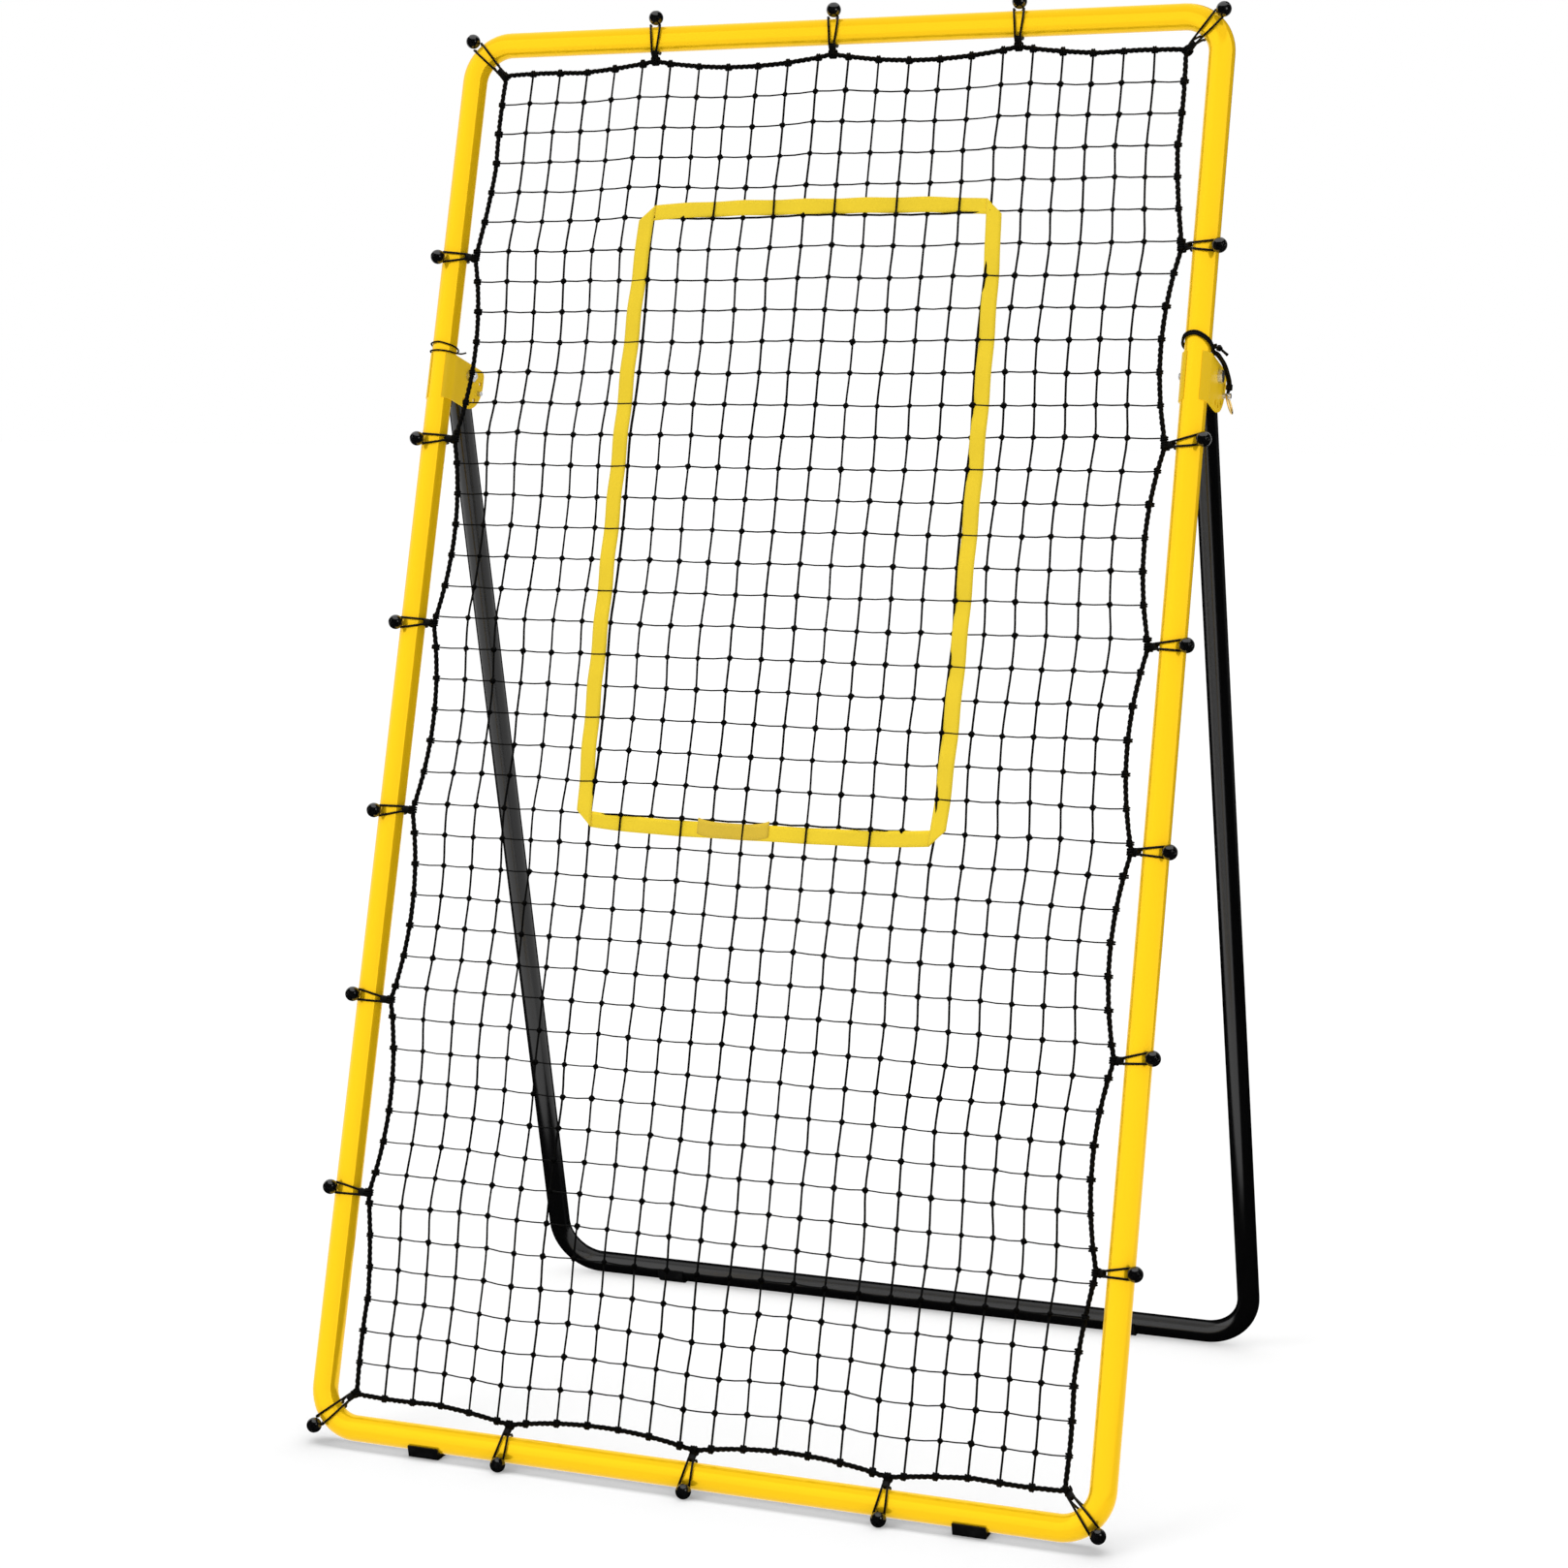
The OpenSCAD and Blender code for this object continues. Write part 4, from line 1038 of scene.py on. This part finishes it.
def bungee(cad_name, x, s, away, turn, reach, slip=0.0):
    """A ball, its loop of elastic and the sleeve, at one place of the hoop."""
    name = cad_name.replace("bungee", "tie")
    at = plane @ Matrix.Translation((x, 0, s)) @ Matrix.Rotation(math.radians(-away), 4, "Y")
    bm = bmesh.new()
    outwards = Matrix.Translation((0, 0, slip)) @ Matrix.Rotation(math.radians(-turn), 4, "Z") @ Matrix.Translation((ball_out, 0, 0)) @ outward
    lathe(bm, ball_shape, 28, outwards)
    bmesh.ops.create_icosphere(bm, subdivisions=2, radius=0.0016, matrix=outwards @ Matrix.Translation((0, 0, 0.0063)))
    ball = as_mesh(bm, name + "_ball", at)
    piece(name + "_ball", ball, "frame", "ball_plastic", ball_plastic, replaced=[cad_name])
    fitter = (at.inverted() @ plane @ fitter_at).normalized()
    loops = [elastic_loop(turn, reach, side, slip, fitter) for side in (-1, 1)]
    cord = strands(name + "_loop", loops, elastic_r, 8, closed=True, at=at)
    piece(name + "_loop", cord, "frame", "ball_plastic", elastic, replaced=[cad_name])
    bm = bmesh.new()
    wall = [(0, 0), (3.2, 0), (3.8, 0.4), (3.9, 1.2), (3.7, 2.2), (3.85, 3.4), (3.7, 4.6), (3.9, 5.9), (3.8, 6.7), (3.4, 7.0), (2.7, 6.8), (2.4, 6.0), (0, 6.0)]
    oval = Matrix.Diagonal((1.357, 0.76, 1.16, 1))
    tilted = Matrix.Translation((rope_seat - reach, 0, 0)) @ crimp_tilt(reach) @ oval @ outward
    lathe(bm, [(r * 0.001, z * 0.001) for r, z in wall], 20, tilted)
    piece(name + "_sleeve", as_mesh(bm, name + "_sleeve", at), "frame", "ball_plastic", sleeve_rubber, replaced=[cad_name])
    seizing = []
    for k in range(34):
        a = 2 * math.pi * k / 10
        seizing.append(Vector((-reach + 0.0044 * math.cos(a), 0.0044 * math.sin(a), (k / 33 - 0.5) * 0.0085)))
    wrap = strands(name + "_seizing", [seizing], 0.00125, 6, at=at)
    piece(name + "_seizing", wrap, "frame", "net_twine", rope_yarn)


left_slip = (-0.005, -0.005, -0.004, -0.005, 0.0025, 0.003)
right_slip = (-0.0035, 0.003, 0.0, 0.0, 0.0045, 0.003)
for i in range(6):
    bungee(f"bungee_left_{i + 1}", -upright_x, side_knots[5 - i], 180, 62, tie_reach, -left_slip[i])
    bungee(f"bungee_right_{i + 1}", upright_x, side_knots[5 - i], 0, 42, tie_reach, right_slip[i])
for i in range(3):
    bungee(f"bungee_top_{i + 1}", end_knots[i], top_z, 90, 25, tie_reach)
    bungee(f"bungee_bottom_{i + 1}", end_knots[i], 0, -90, 52, tie_reach)
for i in range(4):
    across = 1 if i % 2 else -1
    upper = i < 2
    s = top_z - bend_in if upper else bend_in
    bungee(f"bungee_corner_{i + 1}", across * (upright_x - bend_in), s, (1 if upper else -1) * (45 if across > 0 else 135), 35, corner_reach)


# ---- Lanyards ----
# A black braided cord keeps each lock pin. The right one goes round the upright in a slack
# noose with a knot; the left one is thinner, and is wound round twice before it drops.

lanyard_braid = fibre_of("lanyard_braid", (0.0045, 0.0045, 0.0045), 8.0, 520.0, 1.0, 0.6, 0.0002, Specular_IOR_Level=0.35)
eye_x, ear_rise = 0.02205, 0.015
pin_back, pin_down = 0.02765, 0.01402


def round_upright(degrees, radius, z):
    return Vector((radius * math.cos(math.radians(degrees)), -radius * math.sin(math.radians(degrees)), z))


def drop_to_pin(d):
    """The last stretch of a lanyard, past the bolt head and down to the pin's eye."""
    end_y, end_z = pivot_back + pin_back, 0.003 - pin_down + 0.0003
    return [Vector(p) for p in (
        (ear_out + d / 2 + 0.0015, 0.022, 0.015), (ear_out + d / 2 + 0.0026, 0.036, 0.0125),
        (eye_x - 0.0006, end_y - 0.013, end_z + 0.018), (eye_x, end_y - 0.004, end_z + 0.012),
        (eye_x, end_y, end_z + 0.005), (eye_x, end_y, end_z))]


def lanyard(name, side, route, radius, beside=()):
    """Makes the cord along its route in place of the model's lanyard, and bakes its place, and that of the pieces
    beside it, into their meshes.
    """
    at = at_bracket(side)
    line = through(route, 5)
    cord = bpy.data.objects.new(name, strands(name, [line], radius, 10, at=at))
    cord.data.materials.append(lanyard_braid)
    scene.collection.objects.link(cord)
    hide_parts("lanyard_" + ("right" if side > 0 else "left"))
    for made in (cord, *beside):
        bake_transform(made)


r = 0.0015
top = ear_rise + r + 0.0006
heights = [6, 4, 3, 3, 4, 6, 9, 13, 15, 15, 12, 8, 3, 0]
turn_r = (tube_r + r + 0.0003) / math.cos(math.radians(354 / 26))
knot_at = Vector((turn_r + 0.0046, 0.009, top + 0.0065))
route = [knot_at + Vector((-0.0026, -0.0026, 0.0003))]
route += [round_upright(332 - 354 * i / 13, turn_r, top + h * 0.001) for i, h in enumerate(heights)]
route += [Vector((ear_out + r + 0.0004, 0.009, top - 0.0012)), *drop_to_pin(2 * r)]
bm = bmesh.new()
bmesh.ops.create_icosphere(bm, subdivisions=3, radius=0.0034, matrix=Matrix.Translation(knot_at))
for v in bm.verts:
    off = v.co - knot_at
    v.co = knot_at + off * (1 + 0.18 * math.sin(off.x * 2400 + off.z * 1800) * math.cos(off.y * 1500))
tail_dir = Matrix.Translation(knot_at + Vector((0.0024, 0.001, -0.0016))) @ Matrix.Rotation(math.radians(130), 4, "Y")
lathe(bm, [(0, 0), (0.0015, 0), (0.00145, 0.004), (0.0016, 0.008), (0.0018, 0.009), (0, 0.0088)], 12, tail_dir)
knot = piece("lanyard_right_knot", as_mesh(bm, "lanyard_right_knot", at_bracket(1)), "frame", "black_cord", lanyard_braid)
line = through(route, 5)
slid = []
for i, p in enumerate(line):
    hang = min(1, max(0, (i / len(line) - 0.62) / 0.12))
    ending = min(1, (len(line) - 1 - i) / 6)
    slid.append(p + Vector((hang, 0, 1 - hang)).normalized() * 0.0028 * ending)


def black_cord(name, line, radius, sides):
    """A further piece of cord on the right lanyard."""
    made = bpy.data.objects.new(name, strands(name, [line], radius, sides, at=at_bracket(1)))
    made.data.materials.append(lanyard_braid)
    scene.collection.objects.link(made)
    return made


second = black_cord("lanyard_right_return", slid, 0.0014, 10)
neck = drop_to_pin(2 * r)[4] + Vector((0.0012, 0, 0.0015))
collar_line = []
for k in range(40):
    a = 2 * math.pi * k / 9
    collar_line.append(neck + Vector((0.0030 * math.cos(a), 0.0024 * math.sin(a), (k / 39 - 0.5) * 0.0052)))
collar = black_cord("lanyard_right_collar", collar_line, 0.0009, 8)
lanyard("lanyard_right_cord", 1, route, r, [second, collar])

r = 0.001
top = ear_rise + r + 0.0006
turn_r = (tube_r + r + 0.0003) / math.cos(math.radians(13.7))
route = [Vector((-turn_r - 0.012, 0.001, top + 0.0015)), Vector((-turn_r - 0.006, 0, top))]
for i in range(20):
    up = 0.0105 * min(1, i / 16) ** 2 - 0.004 * max(0, i / 16 - 1)
    route.append(round_upright(165 - 27.4 * i, turn_r, top + up))
route += [Vector((ear_out + r + 0.001, 0.020, top + 0.004)), *drop_to_pin(2 * r)]
lanyard("lanyard_left_cord", -1, route, r)
